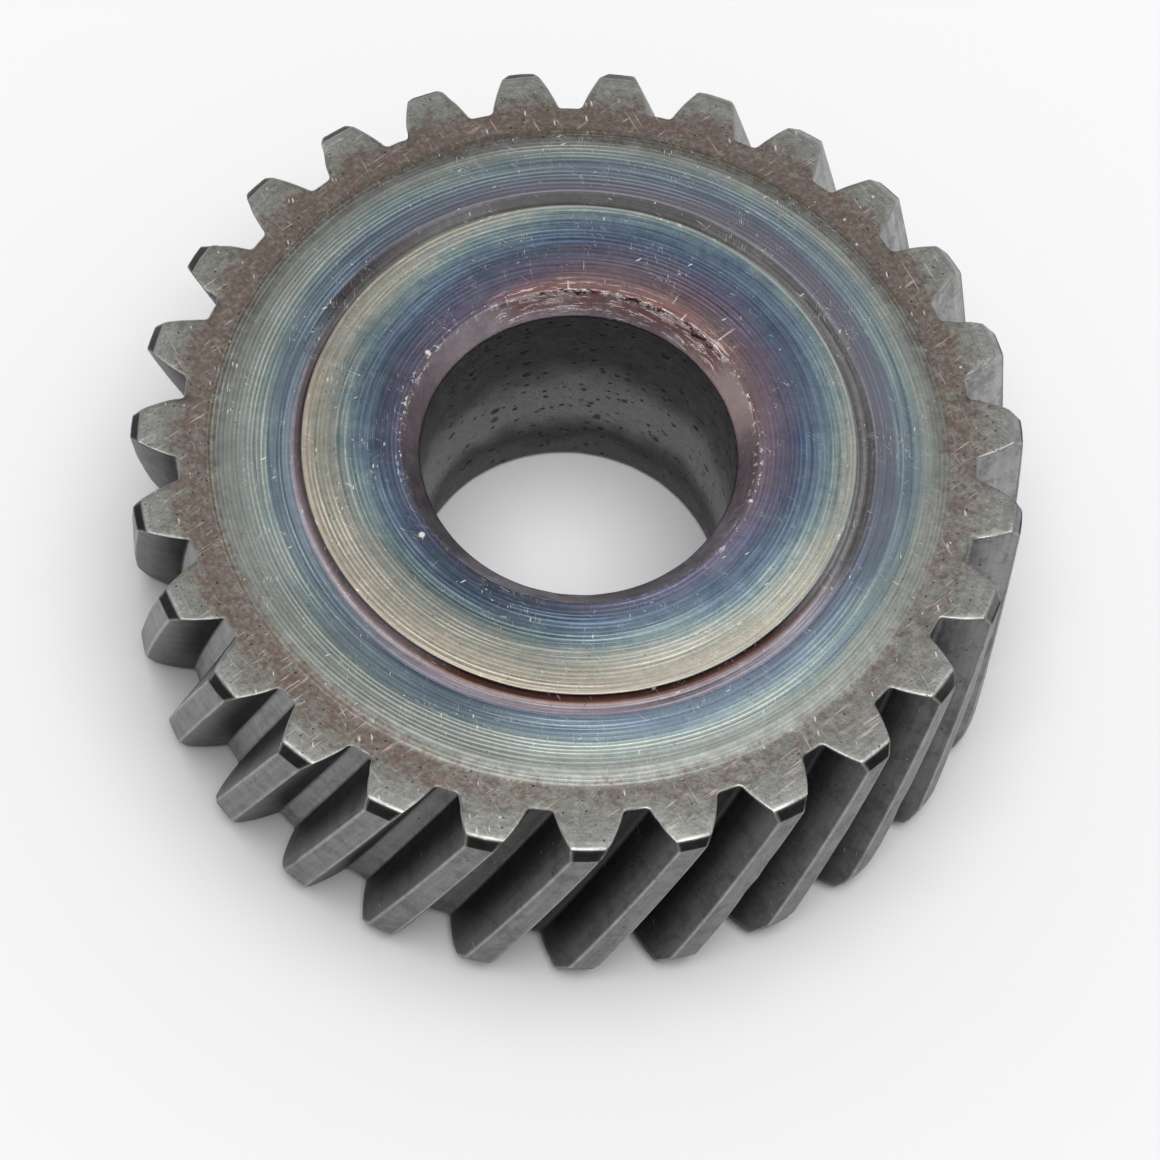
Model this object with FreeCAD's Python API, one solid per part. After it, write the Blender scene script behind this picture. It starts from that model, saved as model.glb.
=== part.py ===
import FreeCAD, Part
import math
import os

# Helical gear in one piece, for parallel shafts: a turned steel blank with a plain bore, a low
# hub face on each side and right-hand involute teeth around its rim.
# Lengths are in millimetres and angles in degrees. The bore's axis is Z, and the lower hub
# face lies in the plane Z = 0, on which the gear rests.

# Tooth system, with the module and pressure angle taken square to the teeth
TEETH = 27
NORMAL_MODULE = 1.5
NORMAL_PRESSURE_ANGLE = 25.0
HELIX_ANGLE = 19.0
# Radial heights of the stub teeth, measured from the pitch cylinder
ADDENDUM = 1.2
DEDENDUM = 1.26
# Added to half the pitch to give the tooth's thickness along the pitch circle
TOOTH_THICKENING = 0.15
# Radius of the circle whose chord is the short flat between a flank and the root
ROOT_ROUNDING = 0.3

# Toothed rim
FACE_WIDTH = 15.0
# Chamfer of the tooth tips at the upper end, and the longer one at the lower end
UPPER_TIP_CHAMFER_DEPTH = 0.5
UPPER_TIP_CHAMFER_LENGTH = 0.5
LOWER_TIP_CHAMFER_DEPTH = 0.5
LOWER_TIP_CHAMFER_LENGTH = 1.2
# Plain land left between the tooth roots and the turned web
RIM_LAND = 1.37
# Step by which the turned web stands above the land
WEB_RISE = 0.07

# Hub
BORE_DIAMETER = 16.0
HUB_DIAMETER = 28.0
# Height of the hub face above the web
HUB_RISE = 0.38
# Groove at the foot of the hub: a steep wall, a narrow floor and a straight ramp up to the web
GROOVE_WIDTH = 1.08
GROOVE_DEPTH = 0.22
GROOVE_FLOOR = 0.3
# How far the foot of the groove's wall stands out from the hub's edge
WALL_BATTER = 0.16
UPPER_BORE_CHAMFER = 1.0
LOWER_BORE_CHAMFER = 0.3

# How far the blank runs past the tips of the teeth before they are formed
OVERRUN = 0.5
# Points on the curve of one flank
FLANK_POINTS = 5
# Largest turn of a strip in which the teeth run straight, so that they follow the helix
# within 0.02 mm
STRIP_TURN = 3.5

# Sizes that follow from the tooth system
helix = math.radians(HELIX_ANGLE)
pitch_radius = TEETH * NORMAL_MODULE / math.cos(helix) / 2
pressure_angle = math.atan(math.tan(math.radians(NORMAL_PRESSURE_ANGLE)) / math.cos(helix))
base_radius = pitch_radius * math.cos(pressure_angle)
tip_radius = pitch_radius + ADDENDUM
root_radius = pitch_radius - DEDENDUM
half_pitch = math.pi / TEETH
tooth_thickness = half_pitch * pitch_radius + TOOTH_THICKENING
# Turn of the teeth about the axis, in degrees for each millimetre of height
turn_rate = math.degrees(math.tan(helix) / pitch_radius)
strips = math.ceil(FACE_WIDTH * turn_rate / STRIP_TURN)

# Levels, from the lower hub face up to the upper one
lower_rim = HUB_RISE + WEB_RISE
upper_rim = lower_rim + FACE_WIDTH
height = upper_rim + lower_rim

# Radii of the turned faces
bore_radius = BORE_DIAMETER / 2
hub_radius = HUB_DIAMETER / 2
land_radius = root_radius - RIM_LAND


def involute(slant):
    """Angle between a point of the involute and the curve's start on the base circle."""
    return math.tan(slant) - slant


def at_angle(radius, angle, level=0.0):
    """Point at a radius and an angle about the axis."""
    return FreeCAD.Vector(radius * math.cos(angle), radius * math.sin(angle), level)


def line(start, end):
    return Part.LineSegment(start, end).toShape()


def arc(start, middle, end):
    return Part.Arc(start, middle, end).toShape()


def flank_point(tangent):
    """Point of the tooth's flank whose tangent to the base circle has this length.

    The tangent is square to the involute. The second value is the bearing of the direction
    out of the tooth there.
    """
    slant = math.atan(tangent / base_radius)
    at_pitch = tooth_thickness / 2 / pitch_radius
    bearing = at_pitch + involute(pressure_angle) - involute(slant)
    return at_angle(math.hypot(tangent, base_radius), bearing), bearing + math.pi / 2 - slant


def tooth_side():
    """One side of the tooth on the X axis: its flank, the flat at its foot and the flat's end.

    The rounding circle touches the flank and the root circle, so its centre lies one radius
    along the tangent from the flank and as far outside the root circle.
    """
    centre_radius = root_radius + ROOT_ROUNDING
    foot = math.sqrt(centre_radius**2 - base_radius**2) - ROOT_ROUNDING
    crest = math.sqrt(tip_radius**2 - base_radius**2)
    step = (crest - foot) / (FLANK_POINTS - 1)
    curve = Part.BSplineCurve()
    curve.interpolate([flank_point(foot + step * index)[0] for index in range(FLANK_POINTS)])
    contact, outward = flank_point(foot)
    centre = contact + at_angle(ROOT_ROUNDING, outward)
    bearing = math.atan2(centre.y, centre.x)
    return curve.toShape(), line(contact, at_angle(root_radius, bearing)), bearing


def gear_outline():
    """Outline of the gear square to its axis, with one tooth on the X axis."""
    flank, flat, root_start = tooth_side()
    crest = flank.Vertexes[-1].Point
    across = FreeCAD.Vector(0, 1, 0)
    far_flank = flank.mirror(FreeCAD.Vector(), across)
    far_flat = flat.mirror(FreeCAD.Vector(), across)
    tip = arc(far_flank.Vertexes[-1].Point, at_angle(tip_radius, 0), crest)
    root = arc(
        at_angle(root_radius, root_start),
        at_angle(root_radius, half_pitch),
        at_angle(root_radius, 2 * half_pitch - root_start),
    )
    edges = []
    for index in range(TEETH):
        for edge in (far_flat, far_flank, tip, flank, flat, root):
            copy = edge.copy()
            copy.rotate(FreeCAD.Vector(), FreeCAD.Vector(0, 0, 1), index * 360.0 / TEETH)
            edges.append(copy)
    return Part.Wire(Part.__sortEdges__(edges))


def toothed_bar():
    """Gear bar, one strip longer than the rim at each end.

    It is lofted through copies of the gear's outline that turn as a right-hand screw.
    """
    outline = gear_outline()
    sections = []
    for index in range(-1, strips + 2):
        level = lower_rim + FACE_WIDTH * index / strips
        section = outline.copy()
        section.translate(FreeCAD.Vector(0, 0, level))
        section.rotate(FreeCAD.Vector(), FreeCAD.Vector(0, 0, 1), turn_rate * level)
        sections.append(section)
    return Part.makeLoft(sections, True, True)


def side_outline():
    """Corners of one turned side, from the hub to the land, with the hub face at height 0."""
    web = -HUB_RISE
    floor = web - GROOVE_DEPTH
    wall_foot = hub_radius + WALL_BATTER
    return {
        "hub_edge": (hub_radius, 0.0),
        "wall_foot": (wall_foot, floor),
        "ramp_start": (wall_foot + GROOVE_FLOOR, floor),
        "web_start": (hub_radius + GROOVE_WIDTH, web),
        "web_end": (land_radius - WEB_RISE, web),
        "land_start": (land_radius, web - WEB_RISE),
    }


def turned_side(level, upward, bore_chamfer, tip_chamfer_depth, tip_chamfer_length):
    """Corners of one side of the blank, from the bore's wall out past the tips of the teeth."""
    rim = level - upward * lower_rim
    beyond = tip_chamfer_length * (tip_chamfer_depth + OVERRUN) / tip_chamfer_depth
    corners = [(bore_radius, level - upward * bore_chamfer), (bore_radius + bore_chamfer, level)]
    corners += [(radius, level + upward * depth) for radius, depth in side_outline().values()]
    corners.append((tip_radius - tip_chamfer_depth, rim))
    corners.append((tip_radius + OVERRUN, rim - upward * beyond))
    return [FreeCAD.Vector(radius, 0, place) for radius, place in corners]


def turned_blank():
    """Turned blank, wider than the teeth, its half section turned about the axis."""
    upper = turned_side(
        height, 1, UPPER_BORE_CHAMFER, UPPER_TIP_CHAMFER_DEPTH, UPPER_TIP_CHAMFER_LENGTH
    )
    lower = turned_side(
        0.0, -1, LOWER_BORE_CHAMFER, LOWER_TIP_CHAMFER_DEPTH, LOWER_TIP_CHAMFER_LENGTH
    )
    section = Part.Face(Part.makePolygon(upper + lower[::-1] + upper[:1]))
    return section.revolve(FreeCAD.Vector(), FreeCAD.Vector(0, 0, 1), 360)


def helical_gear():
    """The finished gear, with a tooth centred on the X axis in the plane Z = 0."""
    return turned_blank().common(toothed_bar())


os.makedirs("parts", exist_ok=True)
gear = helical_gear()
print("solids", len(gear.Solids), "valid", gear.isValid(), "volume", round(gear.Volume, 1))
print("faces", len(gear.Faces), "tip diameter", round(2 * tip_radius, 2))
gear.Solids[0].exportStep("parts/helical_gear.step")
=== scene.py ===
import math

import bpy
import numpy as np
from mathutils import Matrix, Vector


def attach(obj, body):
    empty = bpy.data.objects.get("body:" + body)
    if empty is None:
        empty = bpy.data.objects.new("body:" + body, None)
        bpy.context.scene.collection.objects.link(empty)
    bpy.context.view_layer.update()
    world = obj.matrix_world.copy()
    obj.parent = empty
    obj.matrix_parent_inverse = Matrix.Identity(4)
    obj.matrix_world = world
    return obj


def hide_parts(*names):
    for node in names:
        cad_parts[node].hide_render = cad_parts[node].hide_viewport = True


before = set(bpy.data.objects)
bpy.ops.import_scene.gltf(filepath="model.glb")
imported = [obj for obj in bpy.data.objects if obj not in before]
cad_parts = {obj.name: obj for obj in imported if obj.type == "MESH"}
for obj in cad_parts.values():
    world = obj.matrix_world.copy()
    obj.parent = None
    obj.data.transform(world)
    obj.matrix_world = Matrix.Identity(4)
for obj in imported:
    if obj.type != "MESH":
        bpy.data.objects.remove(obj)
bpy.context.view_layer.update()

bl_info = {
    "name": "Heat-tinted helical gear",
    "version": (1, 0, 0),
    "blender": (4, 5, 0),
    "location": "3D View > Sidebar > Gear",
    "description": "Builds the worn surface of a helical gear and its plain stage",
    "category": "Object",
}

# The gear stands on its lower hub face, with its axis on Z and lengths in metres.
MM = 0.001
NODE = "helical_gear"

# Segments of a tooth's outline from the middle of a space: along the root, round the fillet,
# up the flank, round the worn corner and along the tip to its middle
ROOT_STEPS = 2
FILLET_STEPS = 4
FLANK_STEPS = 9
CORNER_STEPS = 3
TIP_STEPS = 2
HALF_STEPS = ROOT_STEPS + FILLET_STEPS + FLANK_STEPS + CORNER_STEPS + TIP_STEPS
TOOTH_COLUMNS = 2 * HALF_STEPS
# Points of a tooth's tip from its corner to its middle, as parts of the way
TIP_PARTS = np.array([0.0, 0.16, 1.0])
# Rings up the teeth between their chamfers, and up the bore's wall between its own
BODY_LEVELS = 9
WALL_LEVELS = 3
# Rings of the chamfered ends of the teeth, as parts of the chamfer's length from the end
LOWER_PARTS = np.array([0.42, 0.62, 0.8, 0.92, 1.0, 1.1, 1.3])
UPPER_PARTS = np.array([1.4, 1.16, 1.06, 1.0, 0.94, 0.84, 0.32])
# Rings on the flat face between a tooth end and the circle inside the roots, as parts of the way
FACE_PARTS = (0.05, 0.3, 0.65, 1.0)
# Angles round the worn edge of a tooth's end, from its end face to the side
EDGE_ANGLES = np.radians([90.0, 60.0, 30.0, 0.0])
# Wear of the rings of those edges, and of the first ring inside the upper one
LOWER_EDGE_WEAR = (0.3, 0.6, 0.6, 0.3)
UPPER_EDGE_WEAR = (0.08, 0.6, 1.0, 0.6)
FACE_EDGE_WEAR = 0.12
# Wear across the rounded corner between a flank and the tip
CORNER_WEAR = (0.55, 1.0, 1.0, 0.55)
# Distance of a ring from the sharp corner beside it
NEAR = 0.03 * MM
# Distance of the first and last circles of an end's flat rings from the roots and the land
ROOT_MARGIN = 0.3 * MM
LAND_MARGIN = 0.35 * MM
# Width of the worn slope between the land and the web, in times its height
WEB_FADE = 12.0

# Depth of the unevenness of all faces, and of the wear of the rubbed edges, in metres
UNEVENNESS = 0.006 * MM
EDGE_LOSS = 0.02 * MM
# Nicks dented into the rubbed edges, with the least and most reach and depth in millimetres
NICKS = 150
NICK_REACH = (0.12, 0.42)
NICK_DEPTH = (0.015, 0.1)
# Height over which a ripple leans by at most one radian about the axis
RIPPLE_CLIMB = 20.0 * MM
# Middle of the torn stretch of the bore's mouth, in degrees about the axis
TORN_HEADING = 84.0
# Large chips at the bore's mouth: heading in degrees, then gap outwards from the mouth and
# reach in millimetres
MOUTH_CHIPS = ((-136.3, 0.5, 0.2), (156.0, 0.25, 0.16), (-165.0, -0.05, 0.13))
# How metallic a fresh chip looks
CHIP_METALLIC = 0.3
# Pitch of the turning marks of each face, in millimetres
FEEDS = {"hub_face": 0.23, "groove": 0.19, "web": 0.225, "land": 0.31, "underside": 0.25}

# Thickness of the film of each temper colour, on a scale with deep blue near 0
TEMPER_FILMS = {
    "copper": -2.0,
    "plum": -1.25,
    "violet": -0.7,
    "blue": -0.05,
    "sky": 0.4,
    "teal": 0.75,
    "pale": 1.05,
    "straw": 1.45,
    "gold": 2.0,
}
# Sides with a thicker film: heading and reach in degrees, and what is added to the film
THICKER_FILM = {
    "hub_face": ((8.0, 45.0, 0.18), (132.0, 34.0, 0.26), (-45.0, 40.0, 0.2)),
    "web": ((-52.0, 55.0, 0.3), (15.0, 50.0, 0.25)),
}
# Painted light and shade: sides of each face made lighter or darker, with heading and reach in
# degrees, and the share of the change
PAINTED_LIGHT_AND_SHADE = {
    "hub_face": ((-46.0, 42.0, 0.35), (176.0, 40.0, -0.15)),
    "groove": ((165.0, 45.0, -0.4),),
    "web": ((-58.0, 44.0, 0.42), (-118.0, 34.0, -0.22), (140.0, 80.0, -0.12)),
    "bore_chamfer": ((-168.0, 52.0, -0.55), (8.0, 30.0, -0.55), (-96.0, 36.0, 0.5)),
}
# Colours across the groove, from 0 at the hub's edge to 1 at the web's lip. Each side is a lit or
# shaded copy of the tint, with painted light and shade. The near side runs from painted shade at
# the wall's foot to a lavender painted highlight, and the left one from red-brown to a pale blue
# painted highlight. On the far side and the right, a painted highlight on the wall's edge is
# followed by brown-grey.
GROOVE_TINTS_AND_PAINTED_LIGHT = {
    "near": (
        (0.0, (0.03, 0.015, 0.012)),
        (0.1, (0.12, 0.06, 0.04)),
        (0.2, (0.2, 0.125, 0.11)),
        (0.36, (0.14, 0.12, 0.135)),
        (0.46, (0.36, 0.34, 0.38)),
        (0.56, (0.72, 0.68, 0.85)),
        (0.68, (0.95, 0.9, 1.0)),
        (0.82, (0.8, 0.76, 0.95)),
        (0.92, (0.5, 0.52, 0.7)),
        (1.0, (0.2, 0.25, 0.35)),
    ),
    "left": (
        (0.0, (0.26, 0.2, 0.2)),
        (0.2, (0.33, 0.25, 0.25)),
        (0.42, (0.28, 0.27, 0.3)),
        (0.65, (0.44, 0.55, 0.66)),
        (0.88, (0.36, 0.46, 0.55)),
        (1.0, (0.1, 0.145, 0.2)),
    ),
    "far": (
        (0.0, (0.7, 0.74, 0.76)),
        (0.3, (0.36, 0.38, 0.39)),
        (0.38, (0.16, 0.153, 0.15)),
        (0.46, (0.085, 0.08, 0.08)),
        (0.85, (0.078, 0.074, 0.078)),
        (0.95, (0.1, 0.1, 0.108)),
        (1.0, (0.15, 0.15, 0.16)),
    ),
    "right": (
        (0.0, (0.8, 0.84, 0.85)),
        (0.12, (0.6, 0.63, 0.64)),
        (0.17, (0.2, 0.195, 0.195)),
        (0.42, (0.16, 0.152, 0.152)),
        (0.85, (0.165, 0.16, 0.168)),
        (1.0, (0.26, 0.26, 0.28)),
    ),
}

# Kinds of socket on the shared shader groups
VALUE = "NodeSocketFloat"
VECTOR = "NodeSocketVector"
COLOUR = "NodeSocketColor"


def length(name, description, millimetres):
    """A length property whose default is given in millimetres."""
    return bpy.props.FloatProperty(
        name=name,
        description=description,
        default=millimetres * MM,
        subtype="DISTANCE",
        unit="LENGTH",
        precision=5,
    )


def angle(name, description, degrees):
    """An angle property whose default is given in degrees."""
    return bpy.props.FloatProperty(
        name=name,
        description=description,
        default=math.radians(degrees),
        subtype="ANGLE",
        unit="ROTATION",
    )


def amount(name, description, value):
    """A plain number with no unit."""
    return bpy.props.FloatProperty(name=name, description=description, default=value)


def colour(name, description, value):
    """A linear colour."""
    return bpy.props.FloatVectorProperty(
        name=name,
        description=description,
        default=value,
        size=3,
        min=0.0,
        max=1.0,
        subtype="COLOR",
    )


class GearSizes(bpy.types.PropertyGroup):
    """Sizes of the solid gear that the dressed surface follows."""

    teeth: bpy.props.IntProperty(name="Teeth", description="Number of teeth", default=27, min=8)
    normal_module: length("Normal module", "Module square to the teeth", 1.5)
    pressure_angle: angle("Pressure angle", "Pressure angle square to the teeth", 25.0)
    helix_angle: angle("Helix angle", "Right-hand helix angle at the pitch cylinder", 19.0)
    addendum: length("Addendum", "Height of a tooth above the pitch cylinder", 1.2)
    dedendum: length("Dedendum", "Depth of a space below the pitch cylinder", 1.26)
    thickening: length("Tooth thickening", "Added to half the pitch along the pitch circle", 0.15)
    root_fillet: length("Root fillet", "Fillet between a flank and the root", 0.3)
    face_width: length("Face width", "Width of the toothed rim", 15.0)
    chamfer_depth: length("Chamfer depth", "Radial depth of the tip chamfer", 0.5)
    chamfer_length: length("Chamfer length", "Length of the tip chamfer along the axis", 0.5)
    lower_depth: length("Lower depth", "Radial depth of the lower tip chamfer", 0.5)
    lower_length: length("Lower length", "Length of the lower tip chamfer along the axis", 1.2)
    rim_land: length("Rim land", "Plain land between the roots and the turned web", 1.37)
    web_rise: length("Web rise", "Step of the turned web above the land", 0.07)
    bore_diameter: length("Bore", "Diameter of the bore", 16.0)
    hub_diameter: length("Hub", "Diameter of the hub face", 28.0)
    hub_rise: length("Hub rise", "Height of the hub face above the web", 0.38)
    groove_width: length("Groove width", "Width of the groove at the foot of the hub", 1.08)
    groove_depth: length("Groove depth", "Depth of that groove below the web", 0.22)
    nose_radius: length("Nose radius", "Radius of the groove's floor", 0.45)
    upper_chamfer: length("Upper chamfer", "Chamfer of the bore's upper end", 1.0)
    lower_chamfer: length("Lower chamfer", "Chamfer of the bore's lower end", 0.3)
    edge_round: length("Edge rounding", "Wear on the upper edges of the teeth", 0.08)
    lower_round: length("Lower rounding", "Wear on the lower edges of the teeth", 0.22)
    corner_round: length("Corner rounding", "Wear between a flank and the tip", 0.11)
    burr: length("Burr", "Height of the torn burr round the bore chamfer", 0.09)


class GearFinish(bpy.types.PropertyGroup):
    """Colours of the temper tint, the steel and its skin."""

    copper: colour("Copper", "Thinnest tint beside the bore", (0.235, 0.145, 0.14))
    plum: colour("Plum", "Tint between copper and violet", (0.14, 0.09, 0.102))
    violet: colour("Violet", "Tint before blue", (0.105, 0.088, 0.14))
    blue: colour("Blue", "Deep blue of the tint", (0.06, 0.088, 0.142))
    sky: colour("Sky", "Paler blue of the tint", (0.108, 0.158, 0.22))
    teal: colour("Teal", "Grey green before straw", (0.18, 0.245, 0.25))
    pale: colour("Pale", "First pale straw", (0.285, 0.305, 0.28))
    straw: colour("Straw", "Straw of the hub's edge", (0.325, 0.318, 0.268))
    gold: colour("Gold", "Strongest straw", (0.375, 0.335, 0.275))
    steel: colour("Steel", "Steel where edges are rubbed", (0.46, 0.46, 0.44))
    nick: colour("Nick", "Bare metal in fresh nicks", (0.72, 0.69, 0.66))
    skin: colour("Skin", "Grey skin of the rim and tooth faces", (0.2, 0.204, 0.19))
    rust: colour("Rust", "Brown stain near the tooth roots", (0.125, 0.091, 0.078))
    land: colour("Land", "Grey of the tooth tips", (0.2, 0.202, 0.2))
    # Charcoal is the flanks' dark skin and the pits of the land; the teeth also use it for painted
    # shade toward the roots and on the tip chamfers
    charcoal: colour("Charcoal", "Dark skin of the flanks", (0.03, 0.029, 0.03))
    bore: colour("Bore", "Grey skin of the bore", (0.09, 0.089, 0.09))
    mauve: colour("Mauve", "Tint of the bore chamfer", (0.42, 0.36, 0.4))
    pewter: colour("Pewter", "Near side of the bore chamfer", (0.47, 0.46, 0.51))
    flake: colour("Flake", "Torn flakes round the bore", (0.6, 0.46, 0.44))
    burn: colour("Burn", "Red-brown of the torn bore mouth", (0.26, 0.13, 0.12))
    cast: colour("Cast", "Mauve cast of the web beside the groove", (0.16, 0.142, 0.162))
    olive: colour("Olive", "Olive cast in the stain", (0.15, 0.14, 0.1))
    # Near black of dark specks, stains and pits, and painted shade in cracks
    soot_and_shade: colour("Soot", "Bottom of pits, cracks and the groove", (0.018, 0.011, 0.01))


class StageLook(bpy.types.PropertyGroup):
    """Camera, lamps and floor."""

    lens: bpy.props.FloatProperty(
        name="Lens",
        description="Focal length on a sensor 36 mm wide",
        default=169.3,
        subtype="DISTANCE_CAMERA",
        unit="CAMERA",
    )
    distance: length("Distance", "From the camera to the point that it looks at", 271.43)
    elevation: angle("Elevation", "Height of the camera above the horizon", 62.787)
    heading: angle("Heading", "Turn of the camera about the gear's axis", 4.605)
    roll: angle("Roll", "Turn of the camera about its line of sight", 5.527)
    aim_right: length("Aim right", "Place looked at, to the right of the axis", 0.684)
    aim_back: length("Aim back", "Place looked at, behind the axis", -7.434)
    aim_height: length("Aim height", "Height of the place looked at", 15.45)
    floor: colour("Floor", "Pale floor", (0.86, 0.86, 0.87))
    key: amount("Key", "Strength of the soft lamp overhead", 2.3)
    key_spread: angle("Key spread", "Angle across which the soft lamp is seen", 50.0)
    key_tilt: angle("Key tilt", "Tilt of the soft lamp from straight overhead", 5.0)
    key_heading: angle("Key heading", "Side that the soft lamp leans to", -60.0)
    sky: amount("Room", "Brightness of the room overhead", 0.3)
    front: amount("Front", "Brightness of the room at eye level behind the camera", 0.4)
    back: amount("Back", "Brightness of the room at eye level behind the gear", 0.7)


def involute(slant):
    """Angle between a point of the involute and its start on the base circle."""
    return np.tan(slant) - slant


def spread(steps):
    """Fractions from 0 towards 1 that crowd at both ends, as a half cosine wave does."""
    return (1.0 - np.cos(np.pi * np.arange(steps) / steps)) / 2.0


def even(steps):
    """Evenly spaced fractions from 0 towards 1."""
    return np.arange(steps) / steps


class GearForm:
    """Radii and levels that follow from the sizes."""

    def __init__(self, sizes):
        self.sizes = sizes
        self.pitch = sizes.teeth * sizes.normal_module / math.cos(sizes.helix_angle) / 2.0
        transverse = math.tan(sizes.pressure_angle) / math.cos(sizes.helix_angle)
        self.slant = math.atan(transverse)
        self.base = self.pitch * math.cos(self.slant)
        self.tip = self.pitch + sizes.addendum
        self.root = self.pitch - sizes.dedendum
        self.half_pitch = math.pi / sizes.teeth
        self.thickness = self.half_pitch * self.pitch + sizes.thickening
        self.turn = math.tan(sizes.helix_angle) / self.pitch
        self.lower_rim = sizes.hub_rise + sizes.web_rise
        self.upper_rim = self.lower_rim + sizes.face_width
        self.height = self.upper_rim + self.lower_rim
        self.land = self.root - sizes.rim_land
        self.bore = sizes.bore_diameter / 2.0
        self.mouth = self.bore + sizes.upper_chamfer
        self.hub = sizes.hub_diameter / 2.0
        self.lip = self.hub + sizes.groove_width
        self.columns = sizes.teeth * TOOTH_COLUMNS


def ripple(turns, heights, seed, waves, lowest, highest):
    """Smooth noise round the axis between about -1 and 1.

    It is a sum of sine waves, each with a whole number of periods round the axis, a slow
    phase along the axis and a random start.
    """
    rng = np.random.default_rng(seed)
    total = np.zeros(np.broadcast(turns, heights).shape)
    for _ in range(waves):
        periods = rng.integers(lowest, highest + 1)
        climb = rng.uniform(-periods, periods) / RIPPLE_CLIMB
        total += np.sin(periods * turns + climb * heights + rng.uniform(0.0, 2.0 * math.pi))
    return total / math.sqrt(waves)


def flank_at(form, tangent):
    """Point of a tooth's flank and the direction out of it, by the length of its tangent.

    The tangent from the base circle is square to the involute. Its length over the base
    radius is the tangent of the slant, and the slant gives the bearing.
    """
    slant = np.arctan(tangent / form.base)
    at_pitch = form.thickness / 2.0 / form.pitch
    bearing = at_pitch + involute(form.slant) - involute(slant)
    point = np.hypot(tangent, form.base) * np.exp(1j * bearing)
    return point, bearing + math.pi / 2.0 - slant


def tooth_outline(form, tip, corner, inset):
    """Outline of one tooth in the plane square to the axis, as complex numbers.

    The tooth is centred on the real axis. Each half runs from the middle of the space along
    the root circle, round the root fillet, up the involute, round the worn corner and along
    the tip circle. A circle that touches the flank has its centre one radius along the
    tangent from the point of contact, which gives the tangent's length by Pythagoras. The
    inset then moves each point inwards along the outline's own normal.
    """
    fillet = form.sizes.root_fillet
    foot = math.sqrt((form.root + fillet) ** 2 - form.base**2) - fillet
    crest = corner + np.sqrt((tip - corner) ** 2 - form.base**2)
    foot_point, foot_outward = flank_at(form, foot)
    crest_point, crest_outward = flank_at(form, crest)
    fillet_centre = foot_point + fillet * np.exp(1j * foot_outward)
    corner_centre = crest_point - corner * np.exp(1j * crest_outward)
    fillet_bearing = np.angle(fillet_centre)
    crest_bearing = np.angle(corner_centre)

    def along(start, end, fractions):
        start = np.broadcast_to(start, tip.shape)[..., None]
        end = np.broadcast_to(end, tip.shape)[..., None]
        return start + (end - start) * fractions

    root_turn = along(form.half_pitch, fillet_bearing, even(ROOT_STEPS))
    fillet_turn = along(fillet_bearing, foot_outward, even(FILLET_STEPS))
    flank, flank_outward = flank_at(form, along(foot, crest, spread(FLANK_STEPS)))
    corner_turn = along(crest_outward, crest_bearing, even(CORNER_STEPS))
    tip_turn = along(crest_bearing, 0.0, TIP_PARTS)
    turns = [root_turn, fillet_turn, flank_outward, corner_turn, tip_turn]
    points = [
        form.root * np.exp(1j * root_turn),
        fillet_centre - fillet * np.exp(1j * fillet_turn),
        flank,
        corner_centre[..., None] + corner[..., None] * np.exp(1j * corner_turn),
        tip[..., None] * np.exp(1j * tip_turn),
    ]
    normal = np.exp(1j * np.concatenate(turns, -1))
    half = np.concatenate(points, -1) - normal * inset[..., None]
    return np.concatenate([np.conj(half)[..., :-1], half[..., :0:-1]], -1)


def chamfer_drop(position, depth, softness):
    """How far the tip lies below its circle in an end chamfer.

    Position runs from 0 where the chamfer starts to 1 at the tooth's end. The slope starts
    along a hyperbola, softer as softness grows.
    """
    return depth * (position + np.sqrt(position**2 + softness**2)) / 2.0


def tooth_levels(form):
    """Rings up the teeth: heights, tip radii, corner roundings, insets, wear and chamfers."""
    sizes = form.sizes
    rng = np.random.default_rng(11)
    upper_length = sizes.chamfer_length * rng.uniform(0.75, 1.2, sizes.teeth)
    upper_depth = sizes.chamfer_depth * rng.uniform(0.85, 1.1, sizes.teeth)
    lower_length = sizes.lower_length * rng.uniform(0.8, 1.15, sizes.teeth)
    lower_depth = sizes.lower_depth * rng.uniform(0.8, 1.1, sizes.teeth)

    curl = EDGE_ANGLES[:, None]
    lower_edge = sizes.lower_round * (1.0 - np.sin(curl))
    upper_edge = sizes.edge_round * (1.0 - np.sin(curl[::-1]))
    lower_part = LOWER_PARTS[:, None] * lower_length
    upper_part = UPPER_PARTS[:, None] * upper_length
    start = lower_part[-1]
    finish = sizes.face_width - upper_part[0]
    body = start + (finish - start) * np.arange(1, BODY_LEVELS)[:, None] / BODY_LEVELS
    rise = np.concatenate(
        [
            np.broadcast_to(lower_edge, (len(curl), sizes.teeth)),
            lower_part,
            body,
            sizes.face_width - upper_part,
            np.broadcast_to(sizes.face_width - upper_edge, (len(curl), sizes.teeth)),
        ]
    )
    from_top = (sizes.face_width - rise) / upper_length
    from_bottom = rise / lower_length
    drop = chamfer_drop(1.0 - from_top, upper_depth, 0.08)
    drop += chamfer_drop(1.0 - from_bottom, lower_depth, 0.16)
    fade = np.clip(1.5 - rise / sizes.lower_length, 0.0, 1.0)
    corner = sizes.corner_round + (sizes.lower_round - sizes.corner_round) * fade
    inset = np.zeros_like(rise)
    inset[: len(curl)] = sizes.lower_round * (1.0 - np.cos(curl))
    inset[-len(curl) :] = sizes.edge_round * (1.0 - np.cos(curl[::-1]))
    wear = np.zeros(len(rise))
    wear[-len(curl) :] = UPPER_EDGE_WEAR
    wear[: len(curl)] = LOWER_EDGE_WEAR
    ridge = 0.8 * np.exp(-(((1.0 - from_top) / 0.05) ** 2))
    chamfer = np.clip(np.maximum(1.0 - from_top, 1.0 - from_bottom) * 20.0, 0.0, 1.0)
    return form.lower_rim + rise, form.tip - drop, corner, inset, wear, ridge, chamfer


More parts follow.
